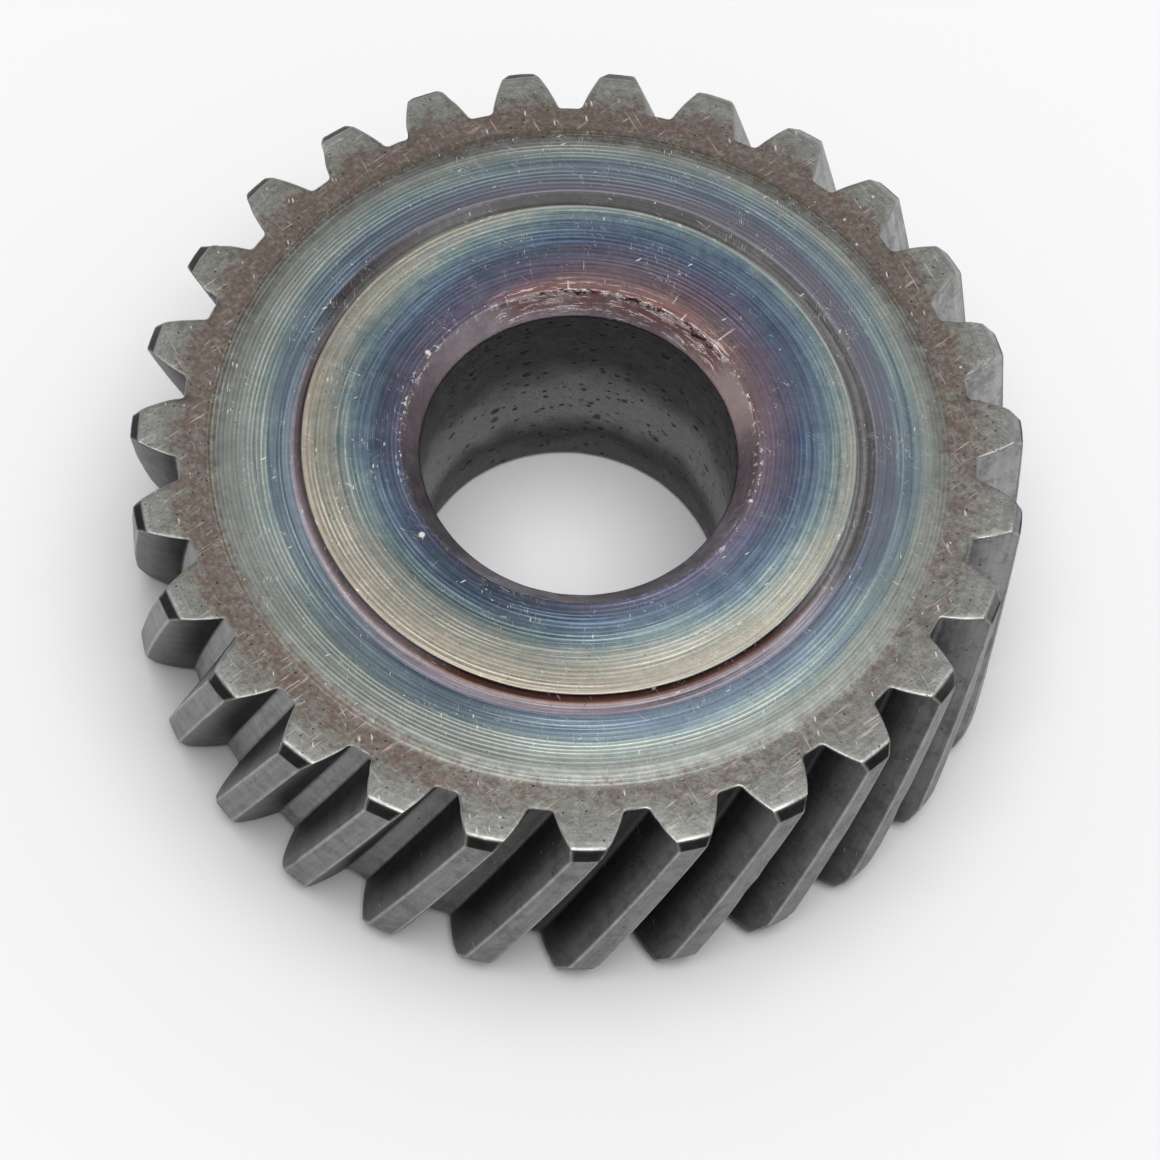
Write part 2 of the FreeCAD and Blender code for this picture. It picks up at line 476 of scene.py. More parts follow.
def groove_rings(form):
    """Rings of the groove at the foot of the hub, from the web's lip to the hub's edge.

    A straight ramp leads down from the lip and touches the circle of the tool's nose, which
    touches the hub's wall. The touching point lies off the line from the nose's centre to the
    lip by the angle whose cosine is the nose's radius over that line.
    """
    sizes = form.sizes
    nose = sizes.nose_radius
    centre = complex(form.hub + nose, sizes.hub_rise + sizes.groove_depth - nose)
    lip = complex(form.lip, sizes.hub_rise)
    bearing = np.angle(lip - centre) + math.acos(nose / abs(lip - centre))
    contact = centre + nose * np.exp(1j * bearing)
    ramp = lip + (contact - lip) * np.array([0.03, 0.15, 0.4, 0.7, 0.92])
    floor = centre + nose * np.exp(1j * np.linspace(bearing, math.pi, 11))
    wall = complex(form.hub, centre.imag * 0.55)
    return [(point.real, point.imag) for point in (*ramp, *floor, wall)]


def side_parts(form, chamfer, plain=False):
    """One turned side, from the land inwards to the bore, as named lists of rings.

    A ring is a radius and a depth below the hub face. Each name is the material of the strips
    that start at the rings of its list. Each sharp corner has a ring close by on both sides.
    The underside is plain, with fewer rings on its faces.
    """
    sizes = form.sizes
    web = sizes.hub_rise
    rim = web + sizes.web_rise
    web_end = form.land - WEB_FADE * sizes.web_rise
    mouth = form.bore + chamfer

    land = [(form.land + 6 * NEAR, rim), (form.land + NEAR, rim)]
    step = [
        (form.land - 0.4 * NEAR, rim - 0.2 * NEAR),
        (web_end + 0.4 * NEAR, web + 0.2 * NEAR),
        (web_end - NEAR, web),
        (web_end - 4 * NEAR, web),
    ]
    turned = [(r, web) for r in np.linspace(web_end - 0.45 * MM, form.lip + 0.35 * MM, 7)]
    lip = [(form.lip + 4 * NEAR, web), (form.lip + NEAR, web)]
    edge = [
        (form.hub, 1.6 * NEAR),
        (form.hub - 0.3 * NEAR, 0.7 * NEAR),
        (form.hub - NEAR, 0.15 * NEAR),
        (form.hub - 2 * NEAR, 0.0),
        (form.hub - 6 * NEAR, 0.0),
    ]
    face = [(r, 0.0) for r in np.linspace(form.hub - 0.5 * MM, mouth + 0.55 * MM, 7)]
    torn = [(mouth + gap * MM, 0.0) for gap in (0.36, 0.24, 0.16, 0.1, 0.06, 0.025)]
    gaps = (0.02, 0.06, 0.11, 0.17, 0.26, 0.4, 0.55, 0.7, 0.85, 0.95)
    slope = [(mouth - gap * chamfer, gap * chamfer) for gap in gaps]
    wall = [(form.bore, chamfer + NEAR), (form.bore, chamfer + 6 * NEAR)]
    groove = groove_rings(form)
    if plain:
        turned, groove, face, slope = turned[::3], groove[::2], face[::3], slope[::4]
        torn = torn[-1:]
    return [
        ("rim_skin", land),
        ("web", step + turned + lip),
        ("groove", groove),
        ("hub_face", edge + face + torn),
        ("bore_chamfer", slope),
        ("bore_wall", wall),
    ]


def inner_profile(form):
    """Rings of the inner band as radius and height, with the material of each ring's strip."""
    upper = side_parts(form, form.sizes.upper_chamfer)
    lower = side_parts(form, form.sizes.lower_chamfer, plain=True)
    over = [(radius, form.height - depth) for _, rings in upper for radius, depth in rings]
    under = [ring for _, rings in lower for ring in rings][::-1]
    heights = np.linspace(over[-1][1], under[0][1], WALL_LEVELS + 2)[1:-1]
    wall = [(form.bore, height) for height in heights]
    kinds = [REGION[name] for name, rings in upper for _ in rings]
    kinds += [REGION["bore_wall"]] * (len(wall) + 1)
    kinds += [REGION["underside"]] * (len(under) - 2)
    return np.array(over + wall + under), kinds


def end_face(form, ring):
    """Flat rings from a tooth end's outline in to the last circle of the outer band.

    The outline's points move straight in to a circle just inside the roots, and from there
    are spaced evenly round the axis.
    """
    columns = np.arange(form.columns)
    uniform = np.exp(1j * (2.0 * math.pi * columns / form.columns - form.half_pitch))
    first = form.root - ROOT_MARGIN
    last = form.land + LAND_MARGIN
    own = first * ring / np.abs(ring)
    rings = [ring + (own - ring) * part for part in FACE_PARTS]
    middle = own + uniform * first
    rings.append(middle / np.abs(middle) * (first + last) / 2.0)
    rings.append(uniform * last)
    return np.array(rings), uniform


def tooth_marks(form, wear, ridge, chamfer):
    """Edge wear and end chamfer of each point of the teeth, between 0 and 1."""
    corner_at = ROOT_STEPS + FILLET_STEPS + FLANK_STEPS
    corner_wear = np.zeros(TOOTH_COLUMNS)
    corner_wear[corner_at : corner_at + CORNER_STEPS + 1] = CORNER_WEAR
    corner_wear = np.maximum(corner_wear, np.roll(corner_wear[::-1], 1))
    on_tip = np.zeros(TOOTH_COLUMNS)
    on_tip[corner_at + 1 : TOOTH_COLUMNS - corner_at] = 1.0
    corner_wear = np.tile(corner_wear, form.sizes.teeth)
    on_tip = np.tile(on_tip, form.sizes.teeth)
    rubbed = np.maximum(wear[:, None], corner_wear[None, :])
    rubbed = np.maximum(rubbed, np.repeat(ridge, TOOTH_COLUMNS, 1) * on_tip)
    return rubbed, np.repeat(chamfer, TOOTH_COLUMNS, 1) * on_tip


def gear_bands(form):
    """The whole surface as two bands of rings, in order round the section.

    The outer band has every column of the teeth, and runs from the lower land up over the
    teeth to the upper land. The inner band has half as many columns, and runs from the upper
    land through the bore back to the lower land. Every ring is turned by the screw of the
    teeth: its angle grows with height by the tangent of the helix angle over pitch radius.
    A band has its points, the material of each strip, and the wear and chamfer of each point.
    """
    height, tip, corner, inset, wear, ridge, chamfer = tooth_levels(form)
    tooth = tooth_outline(form, tip, corner, inset)
    around = np.exp(2j * math.pi * np.arange(form.sizes.teeth) / form.sizes.teeth)
    outline = (tooth * around[:, None]).reshape(len(height), -1)
    wear, chamfer = tooth_marks(form, wear, ridge, chamfer)

    under, _ = end_face(form, outline[0])
    over, uniform = end_face(form, outline[-1])
    flat = np.zeros(over.shape)
    outer = np.concatenate([under[::-1], outline, over])
    up = np.repeat(height, TOOTH_COLUMNS, axis=1)
    outer_level = np.concatenate([flat + form.lower_rim, up, flat + form.upper_rim])
    edge = flat.copy()
    edge[0] = FACE_EDGE_WEAR
    marks = np.stack([np.concatenate([flat, wear, edge]), np.concatenate([flat, chamfer, flat])])
    kinds = np.full(len(outer) - 1, REGION["teeth"])
    kinds[: len(flat)] = REGION["underside"]
    kinds[2 - len(EDGE_ANGLES) - len(flat) :] = REGION["rim_skin"]

    profile, inner_kinds = inner_profile(form)
    inner = profile[:, :1] * uniform[::2]
    inner_level = np.broadcast_to(profile[:, 1:], inner.shape)
    unmarked = np.zeros((2, *inner.shape))
    return (
        (turned_points(form, outer, outer_level), kinds, marks),
        (turned_points(form, inner, inner_level), np.array(inner_kinds), unmarked),
    )


def turned_points(form, plane, level):
    """Points in space of rings given in the plane, each turned by the screw of the teeth."""
    plane = plane * np.exp(1j * form.turn * level)
    return np.stack([plane.real, plane.imag, level], -1)


def band_faces(first, rows, columns):
    """Four-sided faces between neighbouring rings of a band, closed round the axis."""
    row = first + np.arange(rows - 1)[:, None] * columns
    here = np.arange(columns)
    after = (here + 1) % columns
    corners = [row + here, row + after, row + columns + after, row + columns + here]
    return np.stack(corners, -1).reshape(-1, 4)


def joint_faces(fine, coarse, columns, inwards):
    """Triangles between a ring and one with half as many columns, three to each coarse step."""
    step = np.arange(columns // 2)
    after = (step + 1) % (columns // 2)
    start, middle, end = fine + 2 * step, fine + 2 * step + 1, fine + (2 * step + 2) % columns
    here, there = coarse + step, coarse + after
    fans = [(start, middle, here), (middle, there, here), (middle, end, there)]
    if not inwards:
        fans = [(a, c, b) for a, b, c in fans]
    return np.concatenate([np.stack(fan, -1) for fan in fans])


def gear_mesh(form):
    """The closed surface as a mesh, with a material for each region and its two masks."""
    (outer, outer_kinds, outer_marks), (inner, inner_kinds, inner_marks) = gear_bands(form)
    columns = form.columns
    points = np.concatenate([outer.reshape(-1, 3), inner.reshape(-1, 3)])
    wear, chamfer = np.concatenate([outer_marks.reshape(2, -1), inner_marks.reshape(2, -1)], 1)

    inner_first = len(outer) * columns
    last_outer = inner_first - columns
    last_inner = inner_first + (len(inner) - 1) * (columns // 2)
    outer_faces = band_faces(0, len(outer), columns)
    inner_faces = band_faces(inner_first, len(inner), columns // 2)
    upper_joint = joint_faces(last_outer, inner_first, columns, True)
    lower_joint = joint_faces(0, last_inner, columns, False)
    faces = [part.tolist() for part in (outer_faces, inner_faces, upper_joint, lower_joint)]
    mesh = bpy.data.meshes.new("helical_gear_surface")
    mesh.from_pydata(points.tolist(), [], sum(faces, []))

    normals = np.empty(points.size)
    mesh.vertices.foreach_get("normal", normals)
    points = worn_points(form, points, normals.reshape(-1, 3), wear)
    mesh.vertices.foreach_set("co", points.ravel())
    for name, values in (("edge_wear", wear), ("tip_chamfer", chamfer)):
        layer = mesh.attributes.new(name, "FLOAT", "POINT")
        layer.data.foreach_set("value", values.astype(np.float32))

    regions = np.concatenate(
        [
            np.repeat(outer_kinds, columns),
            np.repeat(inner_kinds, columns // 2),
            np.full(len(upper_joint), REGION["rim_skin"]),
            np.full(len(lower_joint), REGION["underside"]),
        ]
    )
    mesh.polygons.foreach_set("material_index", regions.astype(np.int32))
    mesh.polygons.foreach_set("use_smooth", np.ones(len(mesh.polygons), dtype=bool))
    mesh.update()
    mesh.validate()
    return mesh


def worn_points(form, points, normals, wear):
    """Moves the points a little: uneven faces, nicked edges and a torn burr.

    Nicks are bell-shaped dents, deepest at a random point of an edge. The burr is a ridge
    along the torn stretch of the bore's mouth, whose height follows noise round the bore.
    """
    rng = np.random.default_rng(5)
    turns = np.arctan2(points[:, 1], points[:, 0])
    heights = points[:, 2]
    radii = np.hypot(points[:, 0], points[:, 1])
    shift = UNEVENNESS * ripple(turns, heights, 2, 10, 3, 40)
    shift -= EDGE_LOSS * wear * (0.7 + 0.5 * ripple(turns, heights, 3, 12, 20, 160))

    edges = np.flatnonzero(wear > 0.5)
    for centre in points[rng.choice(edges, NICKS)]:
        reach = rng.uniform(*NICK_REACH) * MM
        depth = rng.uniform(*NICK_DEPTH) * MM
        away = np.sum((points - centre) ** 2, axis=1) / reach**2
        shift -= depth * np.exp(-away)

    torn = np.clip(np.cos(turns - math.radians(TORN_HEADING)) * 2.4 - 1.35, 0.0, 1.0)
    jag = np.clip(0.35 + 0.65 * ripple(turns, heights, 7, 14, 18, 150), 0.0, 1.6)
    out = radii - form.mouth
    ridge = np.exp(-((out / (0.07 * MM)) ** 2))
    smear = np.exp(-(((out + 0.24 * MM) / (0.12 * MM)) ** 2))
    smear *= ripple(turns, heights, 9, 14, 14, 120)
    upper = heights > form.upper_rim - MM
    shift += form.sizes.burr * torn * upper * (ridge * jag + 0.35 * smear)
    moved = points + normals * shift[:, None]
    moved[:, 2] = np.clip(moved[:, 2], 0.0, form.height)
    moved[:, :2] *= np.minimum(1.0, form.tip / np.hypot(moved[:, 0], moved[:, 1]))[:, None]
    return moved


class Tree:
    """Adds nodes to a node tree and joins them, one short call for each step."""

    def __init__(self, tree):
        self.tree = tree

    def add(self, kind, **settings):
        """A new node with its settings."""
        node = self.tree.nodes.new(kind)
        for name, value in settings.items():
            setattr(node, name, value)
        return node

    def put(self, socket, value):
        """Joins another node's output to a socket, or sets a plain value on it."""
        if isinstance(value, bpy.types.NodeSocket):
            self.tree.links.new(value, socket)
        else:
            socket.default_value = value

    def fill(self, sockets, **values):
        """Puts several values, each on the socket of its name."""
        for name, value in values.items():
            self.put(sockets[name], value)

    def maths(self, operation, *values):
        node = self.add("ShaderNodeMath", operation=operation)
        for socket, value in zip(node.inputs, values):
            self.put(socket, value)
        return node.outputs[0]

    def times(self, first, *others):
        """Product of the values."""
        for other in others:
            first = self.maths("MULTIPLY", first, other)
        return first

    def most(self, first, *others):
        """Highest of the values."""
        for other in others:
            first = self.maths("MAXIMUM", first, other)
        return first

    def total(self, *terms):
        """Sum of the values, each times its share, given as pairs of share and value."""
        whole = 0.0
        for share, value in terms:
            whole = self.maths("MULTIPLY_ADD", value, share, whole)
        return whole

    def vector(self, operation, a, b=None, scale=None):
        node = self.add("ShaderNodeVectorMath", operation=operation)
        self.put(node.inputs[0], a)
        if operation == "SCALE":
            self.put(node.inputs["Scale"], scale)
        elif b is not None:
            self.put(node.inputs[1], b)
        scalar = operation in ("LENGTH", "DOT_PRODUCT", "DISTANCE")
        return node.outputs["Value" if scalar else "Vector"]

    def join(self, x, y, z):
        node = self.add("ShaderNodeCombineXYZ")
        self.fill(node.inputs, X=x, Y=y, Z=z)
        return node.outputs[0]

    def split(self, vector):
        node = self.add("ShaderNodeSeparateXYZ")
        self.put(node.inputs[0], vector)
        return node.outputs

    def turned(self, place, angle):
        """Coordinates turned about the axis."""
        node = self.add("ShaderNodeVectorRotate", rotation_type="Z_AXIS")
        self.fill(node.inputs, Vector=place, Angle=angle)
        return node.outputs[0]

    def fit(self, value, low, high, start=0.0, end=1.0, smooth=True):
        """Runs from start to end while the value runs from low to high, and stays there."""
        kind = "SMOOTHSTEP" if smooth else "LINEAR"
        node = self.add("ShaderNodeMapRange", interpolation_type=kind)
        for socket, number in zip(node.inputs, (value, low, high, start, end)):
            self.put(socket, number)
        return node.outputs[0]

    def noise(self, place, scale=1.0, detail=2.0, roughness=0.5):
        node = self.add("ShaderNodeTexNoise")
        self.fill(node.inputs, Vector=place, Scale=scale, Detail=detail, Roughness=roughness)
        return node.outputs[0]

    def mix(self, factor, a, b):
        """Colour between two others."""
        node = self.add("ShaderNodeMix", data_type="RGBA")
        self.put(node.inputs[0], factor)
        self.put(node.inputs[6], opaque(a))
        self.put(node.inputs[7], opaque(b))
        return node.outputs[2]

    def tint(self, colour, brightness):
        """A colour made lighter or darker by a factor."""
        return self.vector("SCALE", colour, scale=brightness)

    def ramp(self, factor, stops):
        """Colour along a row of stops, each a position and a colour."""
        node = self.add("ShaderNodeValToRGB")
        elements = node.color_ramp.elements
        while len(elements) < len(stops):
            elements.new(0.5)
        for element, (position, value) in zip(elements, stops):
            element.position = position
            element.color = opaque(value)
        self.put(node.inputs[0], factor)
        return node.outputs[0]

    def group(self, name, **values):
        """One use of a shared effect, with its inputs filled."""
        node = self.add("ShaderNodeGroup", node_tree=bpy.data.node_groups[name])
        self.fill(node.inputs, **values)
        return node.outputs


def opaque(value):
    """A colour with full alpha, or the socket that carries one."""
    if isinstance(value, bpy.types.NodeSocket):
        return value
    return (value[0], value[1], value[2], 1.0)


def heading(degrees):
    """Unit vector at an angle about the axis."""
    return (math.cos(math.radians(degrees)), math.sin(math.radians(degrees)), 0.0)


def new_group(name, inputs, outputs):
    """An empty shader node group with these sockets, with its tree, input and output nodes."""
    group = bpy.data.node_groups.new(name, "ShaderNodeTree")
    for way, sockets in (("INPUT", inputs), ("OUTPUT", outputs)):
        for socket, kind in sockets.items():
            group.interface.new_socket(socket, in_out=way, socket_type=kind)
    tree = Tree(group)
    return tree, tree.add("NodeGroupInput").outputs, tree.add("NodeGroupOutput").inputs


def ring_noise(tree, given, around, across, detail, roughness=0.5, start=0.0):
    """Noise drawn out round the axis.

    It is read at the direction about the axis times one scale and at the radius times another.
    """
    x, y, _ = tree.split(tree.vector("SCALE", given["Around"], scale=around))
    z = tree.maths("MULTIPLY_ADD", given["Radius"], across, start)
    return tree.noise(tree.join(x, y, z), 1.0, detail, roughness)


def build_axis_group():
    """Millimetre coordinates, radius, direction about the axis and turn as a part of a circle."""
    tree, given, out = new_group(
        "axis_coordinates",
        {"Object": VECTOR},
        {"Place": VECTOR, "Radius": VALUE, "Around": VECTOR, "Turn": VALUE},
    )
    place = tree.vector("SCALE", given["Object"], scale=1.0 / MM)
    flat = tree.vector("MULTIPLY", place, (1.0, 1.0, 0.0))
    x, y, _ = tree.split(flat)
    turn = tree.times(tree.maths("ARCTAN2", y, x), 0.5 / math.pi)
    radius = tree.vector("LENGTH", flat)
    around = tree.vector("NORMALIZE", flat)
    tree.fill(out, Place=place, Radius=radius, Around=around, Turn=turn)


def build_turning_group():
    """Spiral tool marks of a lathe: crests at a pitch, with fine rings of uneven depth.

    The crest is half a raised sine wave of radius over pitch plus turn, which closes on itself
    after one turn and so makes a spiral. Two noises drawn out round the axis shift it and fade
    it, and a third gives the fine rings.
    """
    tree, given, out = new_group(
        "turning_marks",
        {"Radius": VALUE, "Around": VECTOR, "Turn": VALUE, "Pitch": VALUE},
        {"Crest": VALUE, "Rings": VALUE, "Bands": VALUE, "Height": VALUE},
    )
    uneven = ring_noise(tree, given, 1.6, 2.2, 2.0)
    bands = ring_noise(tree, given, 1.6, 1.3, 1.0)
    rings = ring_noise(tree, given, 1.6, 6.5, 3.0, 0.62)
    turns = tree.maths("DIVIDE", given["Radius"], given["Pitch"])
    phase = tree.total((1.0, turns), (1.0, given["Turn"]), (1.1, uneven))
    wave = tree.maths("SINE", tree.times(phase, 2.0 * math.pi))
    crest = tree.maths("POWER", tree.maths("MULTIPLY_ADD", wave, 0.5, 0.5), 2.2)
    crest = tree.times(crest, tree.fit(bands, 0.38, 0.68, 0.3, 1.0))
    height = tree.total((1.0, crest), (0.9, rings))
    tree.fill(out, Crest=crest, Rings=rings, Bands=bands, Height=height)


def build_temper_group(finish):
    """Temper colours of hot steel, blended by the thickness of the film."""
    tree, given, out = new_group("temper_tint", {"Film": VALUE}, {"Color": COLOUR})
    thinnest = min(TEMPER_FILMS.values())
    thickest = max(TEMPER_FILMS.values())
    stops = [
        ((film - thinnest) / (thickest - thinnest), getattr(finish, name))
        for name, film in TEMPER_FILMS.items()
    ]
    part = tree.fit(given["Film"], thinnest, thickest, smooth=False)
    tree.put(out["Color"], tree.ramp(part, stops))


def build_scratch_group():
    """Short straight scratches along one direction, as a mask.

    Noise is stretched along the direction and kept where it is highest. A second noise
    breaks the lines into short lengths.
    """
    tree, given, out = new_group(
        "scratches",
        {"Place": VECTOR, "Angle": VALUE, "Density": VALUE, "Scale": VALUE},
        {"Mask": VALUE},
    )
    place = tree.turned(given["Place"], given["Angle"])
    place = tree.vector("SCALE", place, scale=given["Scale"])
    streak = tree.noise(tree.vector("MULTIPLY", place, (0.55, 11.0, 1.0)), 1.0, 1.0)
    limit = tree.maths("MULTIPLY_ADD", given["Density"], -0.12, 0.78)
    kept = tree.fit(streak, limit, tree.maths("ADD", limit, 0.05))
    gaps = tree.noise(tree.vector("MULTIPLY", place, (0.9, 0.9, 0.5)), 1.0, 2.0)
    tree.put(out["Mask"], tree.times(kept, tree.fit(gaps, 0.45, 0.62)))


def build_speck_group():
    """Small specks: cells of a Voronoi pattern, some of which hold a dot.

    The pattern is turned and drawn out along one direction, so that a dot can be a nick.
    """
    tree, given, out = new_group(
        "specks",
        {
            "Place": VECTOR,
            "Angle": VALUE,
            "Narrowing": VALUE,
            "Scale": VALUE,
            "Share": VALUE,
            "Size": VALUE,
        },
        {"Mask": VALUE},
    )
    place = tree.turned(given["Place"], given["Angle"])
    place = tree.vector("MULTIPLY", place, tree.join(1.0, given["Narrowing"], 1.0))
    cells = tree.add("ShaderNodeTexVoronoi")
    tree.fill(cells.inputs, Vector=place, Scale=given["Scale"])
    chance = tree.split(cells.outputs["Color"])
    chosen = tree.maths("LESS_THAN", chance[0], given["Share"])
    size = tree.times(given["Size"], tree.fit(chance[1], 0.0, 1.0, 0.35, 1.0))
    dot = tree.fit(cells.outputs["Distance"], size, tree.times(size, 0.45))
    tree.put(out["Mask"], tree.times(dot, chosen))


def build_stain_group():
    """Blotches with broken edges, as a mask, from coarse noise eaten away by fine noise."""
    tree, given, out = new_group(
        "stain",
        {"Place": VECTOR, "Scale": VALUE, "Cover": VALUE, "Edge": VALUE},
        {"Mask": VALUE, "Grain": VALUE},
    )
    broad = tree.noise(given["Place"], given["Scale"], 5.0, 0.62)
    grain = tree.noise(tree.vector("SCALE", given["Place"], scale=4.0), 1.0, 3.0, 0.6)
    both = tree.total((0.7, broad), (0.3, grain))
    limit = tree.maths("MULTIPLY_ADD", given["Cover"], -0.44, 0.72)
    low = tree.maths("SUBTRACT", limit, given["Edge"])
    high = tree.maths("ADD", limit, given["Edge"])
    tree.fill(out, Mask=tree.fit(both, low, high), Grain=grain)


def build_circle_nick_group():
    """Broken bright nicks along a circle: a narrow band, kept where noise round it is high."""
    tree, given, out = new_group(
        "circle_nicks",
        {"Radius": VALUE, "Around": VECTOR, "Circle": VALUE, "Reach": VALUE, "Cover": VALUE},
        {"Mask": VALUE},
    )
    along = ring_noise(tree, given, 20.0, 3.5, 5.0, 0.7)
    limit = tree.maths("MULTIPLY_ADD", given["Cover"], -0.34, 0.72)
    kept = tree.fit(along, limit, tree.maths("ADD", limit, 0.04))
    away = tree.maths("ABSOLUTE", tree.maths("SUBTRACT", given["Radius"], given["Circle"]))
    reach = tree.times(given["Reach"], tree.fit(along, 0.35, 0.75, 0.5, 1.2))
    band = tree.fit(away, reach, tree.times(reach, 0.35))
    tree.put(out["Mask"], tree.times(kept, band))


def build_torn_group(form):
    """Torn stretch of the bore's mouth: a crack darkened with painted shade, bright flakes and a
    red-brown stain.

    The crack follows the mouth's circle and wanders with noise. The flakes and the stain are
    the high and low parts of a noise drawn out round the bore on both sides of it, and thin
    radial streaks are dragged outwards.
    """
    tree, given, out = new_group(
        "torn_mouth",
        {"Radius": VALUE, "Around": VECTOR},
        {"Crack": VALUE, "Flakes": VALUE, "Stain": VALUE},
    )
    mouth = form.mouth / MM
    torn = tree.vector("DOT_PRODUCT", given["Around"], heading(TORN_HEADING))
    torn = tree.fit(torn, 0.66, 0.84)
    wander = ring_noise(tree, given, 14.0, 0.0, 4.0, 0.65)
    line = tree.fit(wander, 0.3, 0.7, mouth - 0.26, mouth + 0.04, smooth=False)
    away = tree.maths("ABSOLUTE", tree.maths("SUBTRACT", given["Radius"], line))
    broken = tree.fit(ring_noise(tree, given, 8.4, 0.0, 2.0, start=1.8), 0.4, 0.55)
    crack = tree.times(tree.fit(away, 0.09, 0.02), broken)
    layers = ring_noise(tree, given, 6.0, 6.0, 4.0, 0.65)
    near = tree.fit(away, 1.0, 0.35)
    flakes = tree.times(tree.fit(layers, 0.52, 0.6), near)
    stained = tree.times(tree.fit(layers, 0.56, 0.46), near)
    streaks = tree.fit(ring_noise(tree, given, 42.0, 0.5, 2.0), 0.66, 0.72)
    streaks = tree.times(streaks, tree.fit(away, 2.6, 0.6))
    tree.fill(
        out,
        Crack=tree.times(crack, torn),
        Flakes=tree.times(tree.most(flakes, streaks), torn),
        Stain=tree.times(stained, torn),
    )


def build_groups(form, finish):
    """Every shared effect, built once."""
    build_axis_group()
    build_turning_group()
    build_temper_group(finish)
    build_scratch_group()
    build_speck_group()
    build_stain_group()
    build_circle_nick_group()
    build_torn_group(form)


